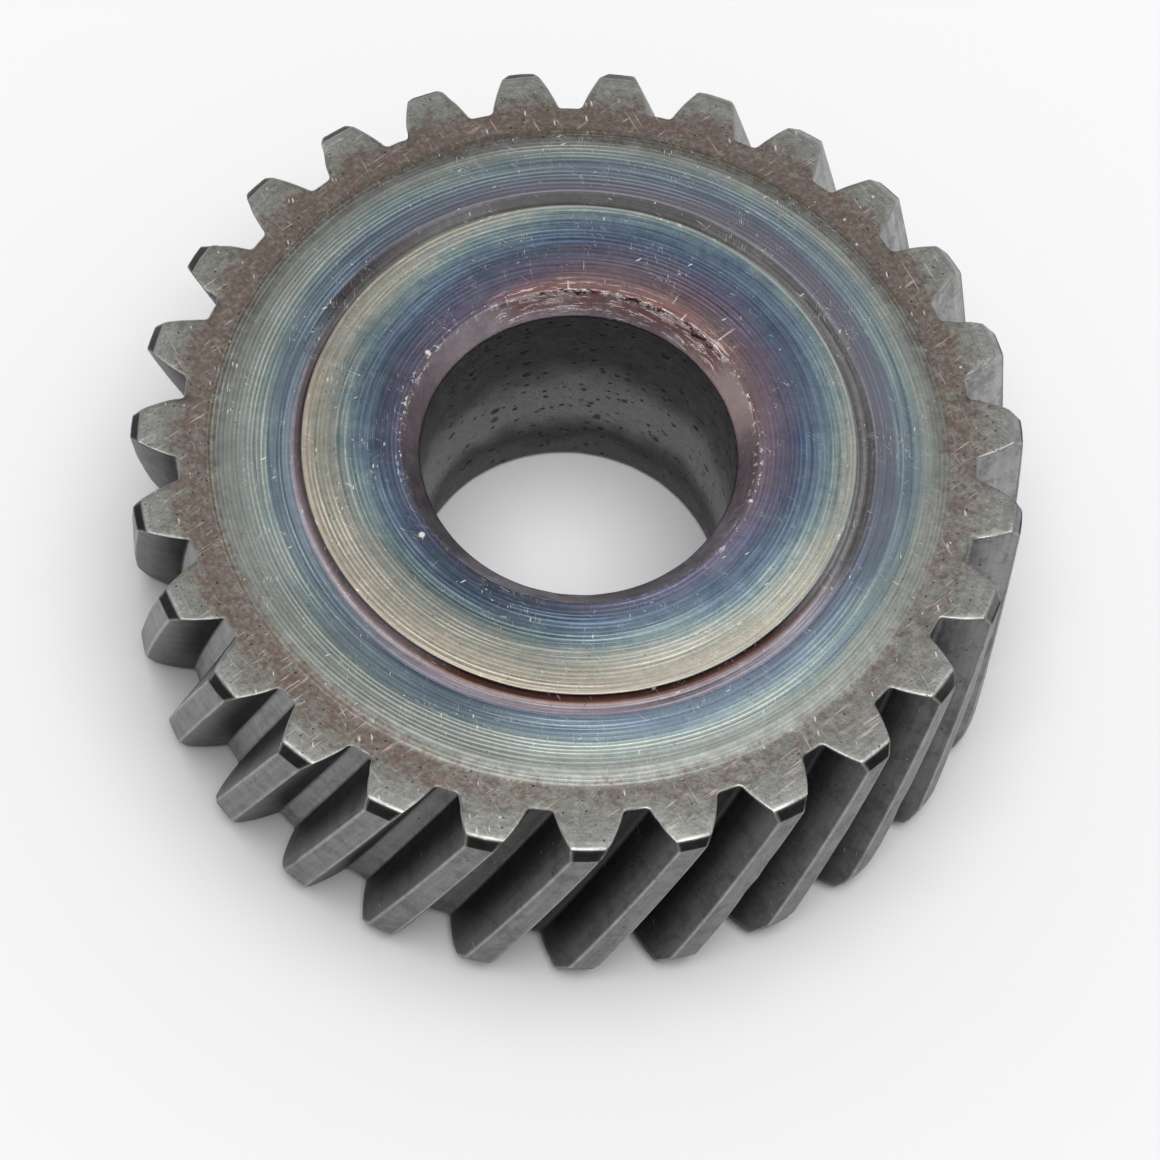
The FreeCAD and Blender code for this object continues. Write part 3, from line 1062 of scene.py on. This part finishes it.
class Coat:
    """A new material with its steel shader, and the gear's radii and places in millimetres."""

    def __init__(self, name, form):
        self.material = bpy.data.materials.new(name)
        self.material.use_nodes = True
        self.material.node_tree.nodes.clear()
        self.tree = Tree(self.material.node_tree)
        self.shader = self.tree.add("ShaderNodeBsdfPrincipled")
        self.shader.inputs["Metallic"].default_value = 1.0
        output = self.tree.add("ShaderNodeOutputMaterial")
        self.tree.put(output.inputs["Surface"], self.shader.outputs[0])
        self.chips = None
        self.marks = None

        object_place = self.tree.add("ShaderNodeTexCoord").outputs["Object"]
        axis = self.tree.group("axis_coordinates", Object=object_place)
        self.place = axis["Place"]
        self.radius = axis["Radius"]
        self.around = axis["Around"]
        self.turn = axis["Turn"]

        self.mouth = form.mouth / MM
        self.edge = form.hub / MM
        self.lip = form.lip / MM
        self.land = form.land / MM
        self.root = form.root / MM
        self.tip = form.tip / MM
        self.level = form.height / MM

    def lean(self, degrees):
        """Cosine of the angle between a point's direction about the axis and this one."""
        return self.tree.vector("DOT_PRODUCT", self.around, heading(degrees))

    def sector(self, degrees, reach):
        """One at a heading about the axis, falling to nothing at an angle to both sides."""
        return self.tree.fit(self.lean(degrees), math.cos(math.radians(reach)), 1.0)

    def shaded(self, tone, sectors):
        """Painted light and shade: a tone made lighter or darker by a share of itself, round one
        or more headings.
        """
        for degrees, reach, change in sectors:
            level = self.tree.maths("MULTIPLY_ADD", self.sector(degrees, reach), change, 1.0)
            tone = self.tree.tint(tone, level)
        return tone

    def turning(self, pitch):
        """Tool marks at a pitch in millimetres, kept for the other effects."""
        self.marks = self.tree.group(
            "turning_marks", Radius=self.radius, Around=self.around, Turn=self.turn, Pitch=pitch
        )
        return self.marks

    def rings(self, low, high, smooth=True):
        """The fine turned rings, as a value between two limits."""
        return self.tree.fit(self.marks["Rings"], 0.3, 0.7, low, high, smooth)

    def scratches(self, degrees, density, scale=1.0):
        """Short scratches that lie at an angle."""
        angle = math.radians(degrees)
        return self.tree.group(
            "scratches", Place=self.place, Angle=angle, Density=density, Scale=scale
        )["Mask"]

    def specks(self, scale, share, size, degrees=0.0, narrowing=1.0):
        return self.tree.group(
            "specks",
            Place=self.place,
            Angle=math.radians(degrees),
            Narrowing=narrowing,
            Scale=scale,
            Share=share,
            Size=size,
        )["Mask"]

    def stain(self, scale, cover, edge=0.12):
        return self.tree.group("stain", Place=self.place, Scale=scale, Cover=cover, Edge=edge)

    def circle_nicks(self, circle, reach, cover):
        return self.tree.group(
            "circle_nicks",
            Radius=self.radius,
            Around=self.around,
            Circle=circle,
            Reach=reach,
            Cover=cover,
        )["Mask"]

    def circle(self, radius, reach):
        """A plain line along a circle, fading out at its reach to both sides."""
        away = self.tree.maths("ABSOLUTE", self.tree.maths("SUBTRACT", self.radius, radius))
        return self.tree.fit(away, reach, reach * 0.3)

    def spot(self, degrees, radius, reach):
        """A round chip at one place on the upper hub face, fading out at its reach."""
        x, y, _ = heading(degrees)
        away = self.tree.vector("DISTANCE", self.place, (radius * x, radius * y, self.level))
        return self.tree.fit(away, reach, reach * 0.5)

    def mark(self, name):
        """A mask kept with the mesh."""
        return self.tree.add("ShaderNodeAttribute", attribute_name=name).outputs["Fac"]

    def cloud(self, scale, low, high, detail=4.0):
        """Soft uneven brightness between two values."""
        noise = self.tree.noise(self.place, scale, detail, 0.65)
        return self.tree.fit(noise, 0.25, 0.75, low, high, smooth=False)

    def laid(self, tone, mask, share, colour):
        """A colour laid over a tone where a mask is high, at most by a share."""
        return self.tree.mix(self.tree.times(mask, share), tone, colour)

    def torn(self, tone, finish, stain_share):
        """The torn stretch of the bore's mouth laid over a tone, with the mask of its flakes."""
        torn = self.tree.group("torn_mouth", Radius=self.radius, Around=self.around)
        tone = self.laid(tone, torn["Stain"], stain_share, finish.burn)
        tone = self.laid(tone, torn["Flakes"], 0.85, finish.flake)
        # Painted shade in the crack below the torn lip
        tone = self.laid(tone, torn["Crack"], 0.9, finish.soot_and_shade)
        return tone, torn["Flakes"]

    def finish(self, colour, roughness, *relief):
        """Feeds the shader. Relief is pairs of a height in millimetres and a mask."""
        tree = self.tree
        tree.put(self.shader.inputs["Base Color"], colour)
        tree.put(self.shader.inputs["Roughness"], roughness)
        if self.chips is not None:
            metallic = tree.fit(self.chips, 0.0, 1.0, 1.0, CHIP_METALLIC)
            tree.put(self.shader.inputs["Metallic"], metallic)
        bump = tree.add("ShaderNodeBump")
        tree.fill(bump.inputs, Strength=1.0, Distance=MM, Height=tree.total(*relief))
        tree.put(self.shader.inputs["Normal"], bump.outputs[0])
        return self.material


def blued_tone(coat, film):
    """Temper colour with its mottling and the light and dark rings of the turning marks."""
    tree = coat.tree
    light = tree.times(
        coat.cloud(2.6, 0.84, 1.16),
        coat.cloud(9.0, 0.86, 1.14, 2.0),
        tree.fit(coat.marks["Crest"], 0.0, 0.9, 0.93, 1.2),
        coat.rings(0.8, 1.2),
    )
    return tree.tint(tree.group("temper_tint", Film=film)["Color"], light)


def handled(coat, tone, finish):
    """Scratches, bright nicks and dark specks of handling, laid over a tone.

    The nicks crowd together in patches, with a few apart. The second value is the mask of
    all that cuts into the face.
    """
    tree = coat.tree
    lines = tree.most(
        coat.scratches(28.0, density=0.5),
        coat.scratches(-52.0, density=0.4, scale=1.2),
        coat.scratches(81.0, density=0.45, scale=1.5),
    )
    crowded = tree.most(
        coat.specks(1.5, share=0.3, size=0.24, degrees=84.0, narrowing=3.0),
        coat.specks(1.9, share=0.2, size=0.2, degrees=20.0, narrowing=3.0),
        coat.scratches(84.0, density=1.0, scale=2.4),
        coat.scratches(20.0, density=0.9, scale=2.6),
    )
    patches = tree.fit(tree.noise(coat.place, 0.4, 2.0), 0.46, 0.6)
    nicks = tree.most(
        tree.times(crowded, patches),
        coat.specks(0.9, share=0.08, size=0.2, degrees=-38.0, narrowing=4.0),
        coat.specks(3.4, share=0.04, size=0.18),
    )
    dark = coat.specks(2.9, share=0.12, size=0.22, degrees=40.0, narrowing=1.6)
    tone = coat.laid(tone, lines, 0.4, finish.steel)
    tone = coat.laid(tone, nicks, 0.7, finish.nick)
    tone = coat.laid(tone, dark, 0.75, finish.soot_and_shade)
    coat.chips = nicks
    return tone, tree.most(lines, nicks)


def browned(coat, tone, finish):
    """Brown stain round the land, most of it on the far side, drawn out by the turning."""
    tree = coat.tree
    inner = tree.fit(coat.radius, coat.land - 1.29, coat.land + 0.31)
    outer = tree.fit(coat.radius, coat.tip - 0.32, coat.land + 0.61)
    far = tree.fit(coat.lean(110.0), -1.0, 1.0, 0.5, 1.0)
    far = tree.total((1.0, far), (0.26, coat.sector(-128.0, 44.0)))
    cover = tree.times(inner, outer, far, coat.rings(0.65, 1.1))
    olive = coat.stain(0.7, tree.times(cover, 0.8), edge=0.2)
    tone = coat.laid(tone, olive["Mask"], 0.45, finish.olive)
    brown = coat.stain(1.3, cover, edge=0.14)
    share = tree.fit(brown["Grain"], 0.3, 0.62, 0.4, 0.95)
    return coat.laid(tone, brown["Mask"], share, finish.rust), brown["Grain"]


def hub_face_material(form, finish):
    """Hub face: fine turning marks under a tint that runs from copper at the bore to straw.

    The film thickens with distance from a circle that lies off the bore's centre. The outer
    edge is rubbed, with a painted highlight along it, and chips stand along the bore's mouth.
    """
    coat = Coat("blued_hub_face", form)
    tree = coat.tree
    marks = coat.turning(FEEDS["hub_face"])
    centre = tree.maths("MULTIPLY_ADD", coat.lean(64.0), 1.46, coat.mouth + 2.02)
    film = tree.total(
        (1.0 / 2.0, tree.maths("SUBTRACT", coat.radius, centre)),
        (1.0, coat.cloud(0.3, -0.1, 0.1, 2.0)),
        (1.0, coat.cloud(1.2, -0.16, 0.16, 5.0)),
        (1.0, coat.rings(-0.2, 0.2, smooth=False)),
        *[(change, coat.sector(*sector)) for *sector, change in THICKER_FILM["hub_face"]],
    )
    tone = tree.mix(coat.cloud(0.7, 0.0, 0.25), blued_tone(coat, film), finish.skin)
    # Turning marks with painted sheen: crests lighter and troughs darker, most strongly toward
    # heading -122
    crests = tree.fit(marks["Crest"], 0.0, 0.7, -0.2, 0.32, smooth=False)
    strength = tree.fit(coat.lean(-122.0), 0.2, 0.9, 0.12, 0.8)
    tone = tree.tint(tone, tree.maths("MULTIPLY_ADD", crests, strength, 0.93))
    inner = tree.fit(coat.radius, coat.edge - 1.2, coat.edge - 2.8, 0.0, -0.32)
    tone = tree.tint(tone, tree.maths("MULTIPLY_ADD", coat.sector(-116.0, 36.0), inner, 1.0))
    # Painted light and shade on the sides of the hub face
    tone = coat.shaded(tone, PAINTED_LIGHT_AND_SHADE["hub_face"])
    tone, cuts = handled(coat, tone, finish)

    # Painted highlight along the hub's rubbed outer edge, pale toward one side and gold toward the
    # other
    lit = tree.mix(tree.fit(coat.lean(215.0), -0.2, 0.4), finish.pale, finish.gold)
    tone = coat.laid(tone, coat.circle(coat.edge - 0.08, 0.16), 0.75, lit)
    # A stronger painted highlight on the far right of that edge, kept less metallic like the chips
    far_right = tree.fit(coat.lean(48.0), 0.1, 0.6, 0.0, 0.6)
    painted_edge_highlight = tree.times(coat.circle(coat.edge - 0.06, 0.15), far_right)
    tone = coat.laid(tone, painted_edge_highlight, 0.9, finish.pale)
    tone = coat.laid(tone, coat.circle_nicks(coat.edge - 0.08, 0.13, 0.35), 0.8, finish.nick)

    sides = tree.most(coat.sector(172.0, 50.0), coat.sector(14.0, 50.0))
    chips = coat.circle_nicks(coat.mouth + 0.1, 0.24, 0.43)
    chips = tree.times(chips, tree.fit(sides, 0.0, 0.25, 0.12, 1.0))
    spots = [coat.spot(degrees, coat.mouth + gap, reach) for degrees, gap, reach in MOUTH_CHIPS]
    chips = tree.most(chips, *spots)
    coat.chips = tree.most(coat.chips, chips, painted_edge_highlight)
    tone = coat.laid(tone, chips, 0.85, finish.nick)
    tone, flakes = coat.torn(tone, finish, 0.6)
    return coat.finish(
        tone,
        coat.rings(0.36, 0.5, smooth=False),
        (0.005, marks["Height"]),
        (-0.004, cuts),
        (0.02, flakes),
        (0.01, tree.noise(coat.place, 1.1, 3.0)),
    )


def groove_material(form, finish):
    """Groove at the foot of the hub, tinted across its width in its own way on each side, with
    painted light and shade in each side's tints.
    """
    coat = Coat("blued_groove", form)
    tree = coat.tree
    marks = coat.turning(FEEDS["groove"])
    across = tree.fit(coat.radius, coat.edge, coat.lip, smooth=False)
    across = tree.maths("ADD", across, coat.rings(-0.04, 0.04, smooth=False))
    # Each side's ramp is a lit or shaded copy of the groove's tint, with painted highlights and
    # painted shade
    side = {name: tree.ramp(across, stops) for name, stops in GROOVE_TINTS_AND_PAINTED_LIGHT.items()}
    # Painted shade on the far side round heading 94
    tone = coat.shaded(side["far"], ((94.0, 38.0, -0.48),))
    tone = tree.mix(tree.fit(coat.lean(-6.0), 0.45, 0.95), tone, side["right"])
    tone = tree.mix(tree.fit(coat.lean(205.0), 0.62, 0.9), tone, side["left"])
    tone = tree.mix(tree.fit(coat.lean(-72.0), 0.5, 0.85), tone, side["near"])
    # Painted shade on the groove's far left
    tone = coat.shaded(tone, PAINTED_LIGHT_AND_SHADE["groove"])
    tone = tree.tint(tone, tree.times(coat.cloud(2.2, 0.82, 1.18), coat.rings(0.82, 1.18)))
    tone, cuts = handled(coat, tone, finish)
    rough = coat.rings(0.36, 0.48, smooth=False)
    return coat.finish(tone, rough, (0.004, marks["Height"]), (-0.003, cuts))


def web_material(form, finish):
    """Web: coarser turning marks, blue at the groove and grey skin at the rim."""
    coat = Coat("blued_web", form)
    tree = coat.tree
    marks = coat.turning(FEEDS["web"])
    centre = tree.maths("MULTIPLY_ADD", coat.lean(19.0), 0.56, coat.lip + 0.38)
    film = tree.total(
        (1.0 / 2.4, tree.maths("SUBTRACT", coat.radius, centre)),
        (1.0, coat.cloud(0.3, -0.1, 0.1, 2.0)),
        (1.0, coat.rings(-0.22, 0.22, smooth=False)),
        (1.0, tree.fit(marks["Bands"], 0.35, 0.65, -0.16, 0.16, smooth=False)),
        (1.0, tree.fit(coat.lean(215.0), 0.2, 1.0, 0.0, 0.3)),
        *[(change, coat.sector(*sector)) for *sector, change in THICKER_FILM["web"]],
    )
    tone = blued_tone(coat, tree.maths("MINIMUM", film, 0.95))
    # A quarter of grey skin, then painted light and shade on the sides of the web
    tone = coat.shaded(tree.mix(0.25, tone, finish.skin), PAINTED_LIGHT_AND_SHADE["web"])
    cast = tree.fit(coat.radius, coat.lip + 1.82, coat.lip + 0.22)
    tone = coat.laid(tone, tree.times(coat.sector(62.0, 95.0), cast), 0.6, finish.cast)

    grey = tree.fit(tree.noise(coat.place, 1.7, 5.0, 0.65), 0.25, 0.75, 0.72, 1.25)
    outer = tree.fit(coat.radius, coat.lip + 1.52, coat.lip + 3.32)
    skin = tree.tint(tuple(finish.skin), grey)
    tone = tree.mix(tree.times(outer, coat.cloud(0.9, 0.55, 1.0)), tone, skin)
    tone, _ = browned(coat, tone, finish)
    # Turning marks with painted sheen: crests lighter and troughs darker, most strongly toward
    # heading -145
    crests = tree.fit(marks["Crest"], 0.0, 0.7, -0.18, 0.27, smooth=False)
    strength = tree.fit(coat.lean(-145.0), -0.2, 0.9, 0.34, 1.0)
    tone = tree.tint(tone, tree.maths("MULTIPLY_ADD", crests, strength, 1.0))
    tone, cuts = handled(coat, tone, finish)
    rough = coat.rings(0.38, 0.52, smooth=False)
    return coat.finish(tone, rough, (0.006, marks["Height"]), (-0.004, cuts))


def rim_skin_material(form, finish):
    """Land and tooth faces: grey skin with brown stain, fine pits and burnished edges."""
    coat = Coat("rim_skin", form)
    tree = coat.tree
    marks = coat.turning(FEEDS["land"])
    grey = tree.noise(coat.place, 1.7, 5.0, 0.65)
    light = tree.fit(grey, 0.25, 0.75, 0.72, 1.3, smooth=False)
    light = tree.times(light, coat.rings(0.86, 1.14), coat.cloud(7.0, 0.82, 1.18, 2.0))
    tone, rusty = browned(coat, tree.tint(tuple(finish.skin), light), finish)

    pits = coat.specks(3.6, share=0.34, size=0.25)
    tone = coat.laid(tone, pits, 0.7, finish.charcoal)
    lines = tree.most(coat.scratches(35.0, density=0.5), coat.scratches(-40.0, density=0.45))
    tone = coat.laid(tone, lines, 0.45, finish.steel)
    streaks = tree.most(
        coat.scratches(52.0, density=0.8, scale=0.7), coat.scratches(-48.0, density=1.1)
    )
    tone = coat.laid(tone, streaks, 0.5, finish.flake)
    coat.chips = tree.most(
        coat.specks(1.2, share=0.1, size=0.3, degrees=70.0, narrowing=4.0),
        coat.specks(2.4, share=0.05, size=0.25),
    )
    tone = coat.laid(tone, coat.chips, 0.6, finish.nick)
    bright = tree.times(coat.mark("edge_wear"), coat.cloud(1.9, 0.4, 1.05, 3.0))
    tone = tree.mix(bright, tone, finish.steel)
    rough = tree.maths("MULTIPLY_ADD", bright, -0.2, 0.52)
    relief = ((-0.03, pits), (0.03, grey), (0.006, marks["Rings"]), (0.012, rusty))
    return coat.finish(tone, rough, *relief)


def teeth_material(form, finish):
    """Flanks and tips: charcoal skin, lighter at the tip and darker toward the roots by painted
    shade, with marks along the helix.

    The marks are noise of radius and of the angle left after the screw's turn is taken off.
    """
    coat = Coat("hobbed_teeth", form)
    tree = coat.tree
    _, _, z = tree.split(coat.place)
    screw = math.degrees(form.turn) * MM
    straight = tree.total((360.0, coat.turn), (-screw, z))
    along = tree.join(tree.times(coat.radius, 3.0), tree.times(straight, 1.4), tree.times(z, 0.12))
    grain = tree.noise(along, 1.0, 4.0, 0.6)
    light = tree.times(tree.fit(grain, 0.25, 0.75, 0.86, 1.14), coat.cloud(0.9, 0.78, 1.22))

    # Painted shade: the flanks darken from the tips' grey toward charcoal at the roots, over their
    # dark skin
    rise = tree.fit(coat.radius, coat.root + 0.74, coat.tip - 0.02)
    tone = tree.mix(tree.times(rise, 0.5), finish.charcoal, finish.land)
    crown = tree.fit(coat.radius, coat.tip - 0.12, coat.tip - 0.04)
    tone = tree.mix(crown, tone, finish.land)
    # Painted shade: the tip chamfers are laid over with charcoal
    tone = coat.laid(tone, coat.mark("tip_chamfer"), 0.95, finish.charcoal)
    tone = tree.tint(tone, light)
    # Painted reflection: a lighter strip along the roots on the side toward heading -155
    root = tree.fit(coat.radius, coat.root + 0.14, coat.root + 0.04)
    root = tree.times(coat.sector(-155.0, 80.0), root)
    tone = tree.mix(root, tone, tree.tint(tuple(finish.land), tree.times(light, 1.3)))
    # Painted light: a pale band on the flanks just below the tip, on the side toward heading 38
    flank = tree.fit(coat.radius, coat.tip - 0.07, coat.tip - 0.17)
    pale = tree.times(coat.sector(38.0, 72.0), flank)
    tone = tree.mix(pale, tone, tree.tint(tuple(finish.land), tree.times(light, 1.9)))

    blotch = coat.stain(0.8, 0.42, edge=0.08)
    tone = coat.laid(tone, blotch["Mask"], 0.35, finish.soot_and_shade)
    pits = coat.specks(2.4, share=0.14, size=0.22)
    tone = coat.laid(tone, pits, 0.85, finish.soot_and_shade)
    dots = tree.most(coat.specks(1.7, share=0.07, size=0.14), coat.scratches(63.0, density=0.3))
    tone = coat.laid(tone, dots, 0.5, finish.steel)
    rubbed = tree.times(coat.mark("edge_wear"), coat.cloud(1.5, 0.25, 0.95, 3.0))
    tone = tree.mix(rubbed, tone, finish.steel)
    relief = ((-0.03, pits), (0.012, grain), (0.012, blotch["Grain"]))
    return coat.finish(tone, coat.cloud(0.9, 0.4, 0.54), *relief)


def bore_chamfer_material(form, finish):
    """Bore chamfer: smooth mauve tint, grey on the near side and torn on the far side."""
    coat = Coat("bore_chamfer_skin", form)
    tree = coat.tree
    near = tree.fit(coat.lean(-88.0), 0.0, 0.75)
    # Mauve turning grey toward the near side, then painted light and shade on the chamfer's sides
    tone = coat.shaded(tree.mix(near, finish.mauve, finish.pewter), PAINTED_LIGHT_AND_SHADE["bore_chamfer"])
    light = tree.times(coat.cloud(1.0, 0.75, 1.25), coat.cloud(5.0, 0.88, 1.12))
    tone = tree.tint(tone, light)
    pink = tree.times(coat.sector(38.0, 30.0), coat.cloud(0.9, 0.5, 1.1))
    tone = coat.laid(tone, pink, 0.9, finish.flake)
    # Painted shade round heading 80
    tone = coat.shaded(tone, ((80.0, 26.0, -0.35),))
    tone, flakes = coat.torn(tone, finish, 0.9)
    tone = coat.laid(tone, coat.circle_nicks(coat.mouth - 0.05, 0.2, 0.55), 0.85, finish.nick)
    nicks = coat.specks(2.2, share=0.08, size=0.2, degrees=60.0, narrowing=3.0)
    tone = coat.laid(tone, nicks, 0.6, finish.nick)
    relief = ((0.02, coat.cloud(1.2, 0.0, 1.0)), (0.03, flakes))
    return coat.finish(tone, coat.cloud(1.2, 0.32, 0.46), *relief)


def bore_wall_material(form, finish):
    """Bore wall: dull grey with a light band round its middle, and many small black pits."""
    coat = Coat("bore_wall_skin", form)
    tree = coat.tree
    _, _, z = tree.split(coat.place)
    z = tree.maths("ADD", z, coat.cloud(0.3, -0.9, 0.9, 2.0))
    middle = tree.times(tree.fit(z, 10.5, 7.0), tree.fit(z, 2.6, 5.0))
    foot = tree.fit(z, 2.6, 0.8, 0.0, 0.35)
    light = tree.fit(tree.most(middle, foot), 0.0, 1.0, 0.5, 2.3, smooth=False)
    light = tree.times(light, coat.cloud(5.0, 0.7, 1.3, 5.0), coat.cloud(1.0, 0.85, 1.15, 5.0))
    tone = tree.tint(tuple(finish.bore), light)
    pits = tree.most(
        coat.specks(0.95, share=0.55, size=0.34), coat.specks(2.1, share=0.5, size=0.4)
    )
    pits = tree.times(pits, tree.fit(coat.stain(2.0, 0.5)["Grain"], 0.35, 0.5))
    tone = coat.laid(tone, pits, 0.85, finish.soot_and_shade)
    relief = ((-0.05, pits), (0.03, coat.cloud(1.0, 0.0, 1.0)))
    return coat.finish(tone, coat.cloud(1.0, 0.42, 0.6), *relief)


def underside_material(form, finish):
    """Underside: plain turned steel under a thin grey skin."""
    coat = Coat("turned_underside", form)
    tree = coat.tree
    marks = coat.turning(FEEDS["underside"])
    crests = tree.fit(marks["Crest"], 0.0, 1.0, 0.88, 1.15)
    tone = tree.tint(tuple(finish.skin), tree.times(coat.cloud(0.8, 0.75, 1.3, 5.0), crests))
    brown = coat.stain(0.5, 0.4)
    tone = coat.laid(tone, brown["Mask"], 0.6, finish.rust)
    tone = coat.laid(tone, coat.mark("edge_wear"), 0.7, finish.steel)
    relief = ((0.006, marks["Height"]), (0.01, brown["Grain"]))
    return coat.finish(tone, coat.cloud(0.8, 0.4, 0.55), *relief)


# What builds the material of each region of the mesh, in the order of the mesh's materials
MATERIALS = {
    "hub_face": hub_face_material,
    "groove": groove_material,
    "web": web_material,
    "rim_skin": rim_skin_material,
    "teeth": teeth_material,
    "bore_chamfer": bore_chamfer_material,
    "bore_wall": bore_wall_material,
    "underside": underside_material,
}
REGION = {name: index for index, name in enumerate(MATERIALS)}


class GEAR_OT_surface(bpy.types.Operator):
    """Build the gear's worn surface in place of the plain solid"""

    bl_idname = "gear.surface"
    bl_label = "Build gear surface"

    def execute(self, context):
        form = GearForm(context.scene.gear_sizes)
        finish = context.scene.gear_finish
        build_groups(form, finish)
        mesh = gear_mesh(form)
        for build_material in MATERIALS.values():
            mesh.materials.append(build_material(form, finish))
        gear = bpy.data.objects.new("helical_gear_surface", mesh)
        context.scene.collection.objects.link(gear)
        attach(gear, "root")
        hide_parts(NODE)
        return {"FINISHED"}


def build_floor(look):
    """A wide pale floor under the gear, with one plain colour."""
    reach = 3.0
    corners = [(x * reach, y * reach, 0.0) for x, y in ((-1, -1), (1, -1), (1, 1), (-1, 1))]
    mesh = bpy.data.meshes.new("floor")
    mesh.from_pydata(corners, [], [(0, 1, 2, 3)])
    material = bpy.data.materials.new("pale_floor")
    material.use_nodes = True
    shader = material.node_tree.nodes["Principled BSDF"]
    shader.inputs["Base Color"].default_value = opaque(look.floor)
    shader.inputs["Roughness"].default_value = 0.7
    shader.inputs["Specular IOR Level"].default_value = 0.2
    mesh.materials.append(material)
    floor = bpy.data.objects.new("floor", mesh)
    bpy.context.scene.collection.objects.link(floor)


def build_lamps(look):
    """One soft lamp almost overhead, in a room that is bright above and dark at eye level."""
    lamp = bpy.data.lights.new("overhead_softbox", "SUN")
    lamp.energy = look.key
    lamp.angle = look.key_spread
    holder = bpy.data.objects.new("overhead_softbox", lamp)
    lean = Vector((math.cos(look.key_heading), math.sin(look.key_heading), 0.0))
    towards = lean * math.sin(look.key_tilt) + Vector((0.0, 0.0, math.cos(look.key_tilt)))
    holder.rotation_euler = towards.to_track_quat("Z", "Y").to_euler()
    bpy.context.scene.collection.objects.link(holder)

    world = bpy.data.worlds.new("soft_room")
    bpy.context.scene.world = world
    world.use_nodes = True
    tree = Tree(world.node_tree)
    background = world.node_tree.nodes["Background"]
    sight = tree.add("ShaderNodeTexCoord").outputs["Generated"]
    _, _, up = tree.split(sight)
    behind = heading(90.0 + math.degrees(look.heading))
    low = tree.fit(tree.vector("DOT_PRODUCT", sight, behind), -0.7, 0.7, look.front, look.back)
    level = tree.fit(up, 0.25, 0.9, low, look.sky)
    tree.fill(background.inputs, Color=(1.0, 1.0, 1.0, 1.0), Strength=level)


def build_camera(look):
    """The camera of the photograph: its heading, height, roll and lens, aimed at a point."""
    turn = Matrix.Rotation(look.heading, 4, "Z")
    aim = turn @ Vector((look.aim_right, look.aim_back, look.aim_height))
    back = turn @ Vector((0.0, -math.cos(look.elevation), math.sin(look.elevation)))
    right = turn @ Vector((1.0, 0.0, 0.0))
    up = back.cross(right)
    across = right * math.cos(look.roll) + up * math.sin(look.roll)
    upright = up * math.cos(look.roll) - right * math.sin(look.roll)
    place = Matrix((across, upright, back)).transposed().to_4x4()
    place.translation = aim + back * look.distance
    lens = bpy.data.cameras.new("camera")
    lens.lens = look.lens
    lens.sensor_width = 36.0
    lens.clip_start = 0.01
    camera = bpy.data.objects.new("camera", lens)
    camera.matrix_world = place
    bpy.context.scene.collection.objects.link(camera)
    bpy.context.scene.camera = camera


class GEAR_OT_stage(bpy.types.Operator):
    """Build the floor, the lamps and the camera"""

    bl_idname = "gear.stage"
    bl_label = "Build stage"

    def execute(self, context):
        look = context.scene.gear_stage
        build_floor(look)
        build_lamps(look)
        build_camera(look)
        context.scene.view_settings.view_transform = "Standard"
        return {"FINISHED"}


class VIEW3D_PT_gear(bpy.types.Panel):
    """The gear's sizes, colours and stage, with the operators that build them"""

    bl_label = "Helical gear"
    bl_idname = "VIEW3D_PT_gear"
    bl_space_type = "VIEW_3D"
    bl_region_type = "UI"
    bl_category = "Gear"

    def draw(self, context):
        for holder, operator in (
            ("gear_sizes", None),
            ("gear_finish", GEAR_OT_surface.bl_idname),
            ("gear_stage", GEAR_OT_stage.bl_idname),
        ):
            box = self.layout.box()
            group = getattr(context.scene, holder)
            for name in group.__annotations__:
                box.prop(group, name)
            if operator:
                box.operator(operator)


CLASSES = (GearSizes, GearFinish, StageLook, GEAR_OT_surface, GEAR_OT_stage, VIEW3D_PT_gear)


def register():
    for kind in CLASSES:
        bpy.utils.register_class(kind)
    bpy.types.Scene.gear_sizes = bpy.props.PointerProperty(type=GearSizes)
    bpy.types.Scene.gear_finish = bpy.props.PointerProperty(type=GearFinish)
    bpy.types.Scene.gear_stage = bpy.props.PointerProperty(type=StageLook)


def unregister():
    del bpy.types.Scene.gear_stage
    del bpy.types.Scene.gear_finish
    del bpy.types.Scene.gear_sizes
    for kind in reversed(CLASSES):
        bpy.utils.unregister_class(kind)


def main():
    register()
    bpy.ops.gear.surface()
    bpy.ops.gear.stage()


if __name__ == "__main__":
    main()
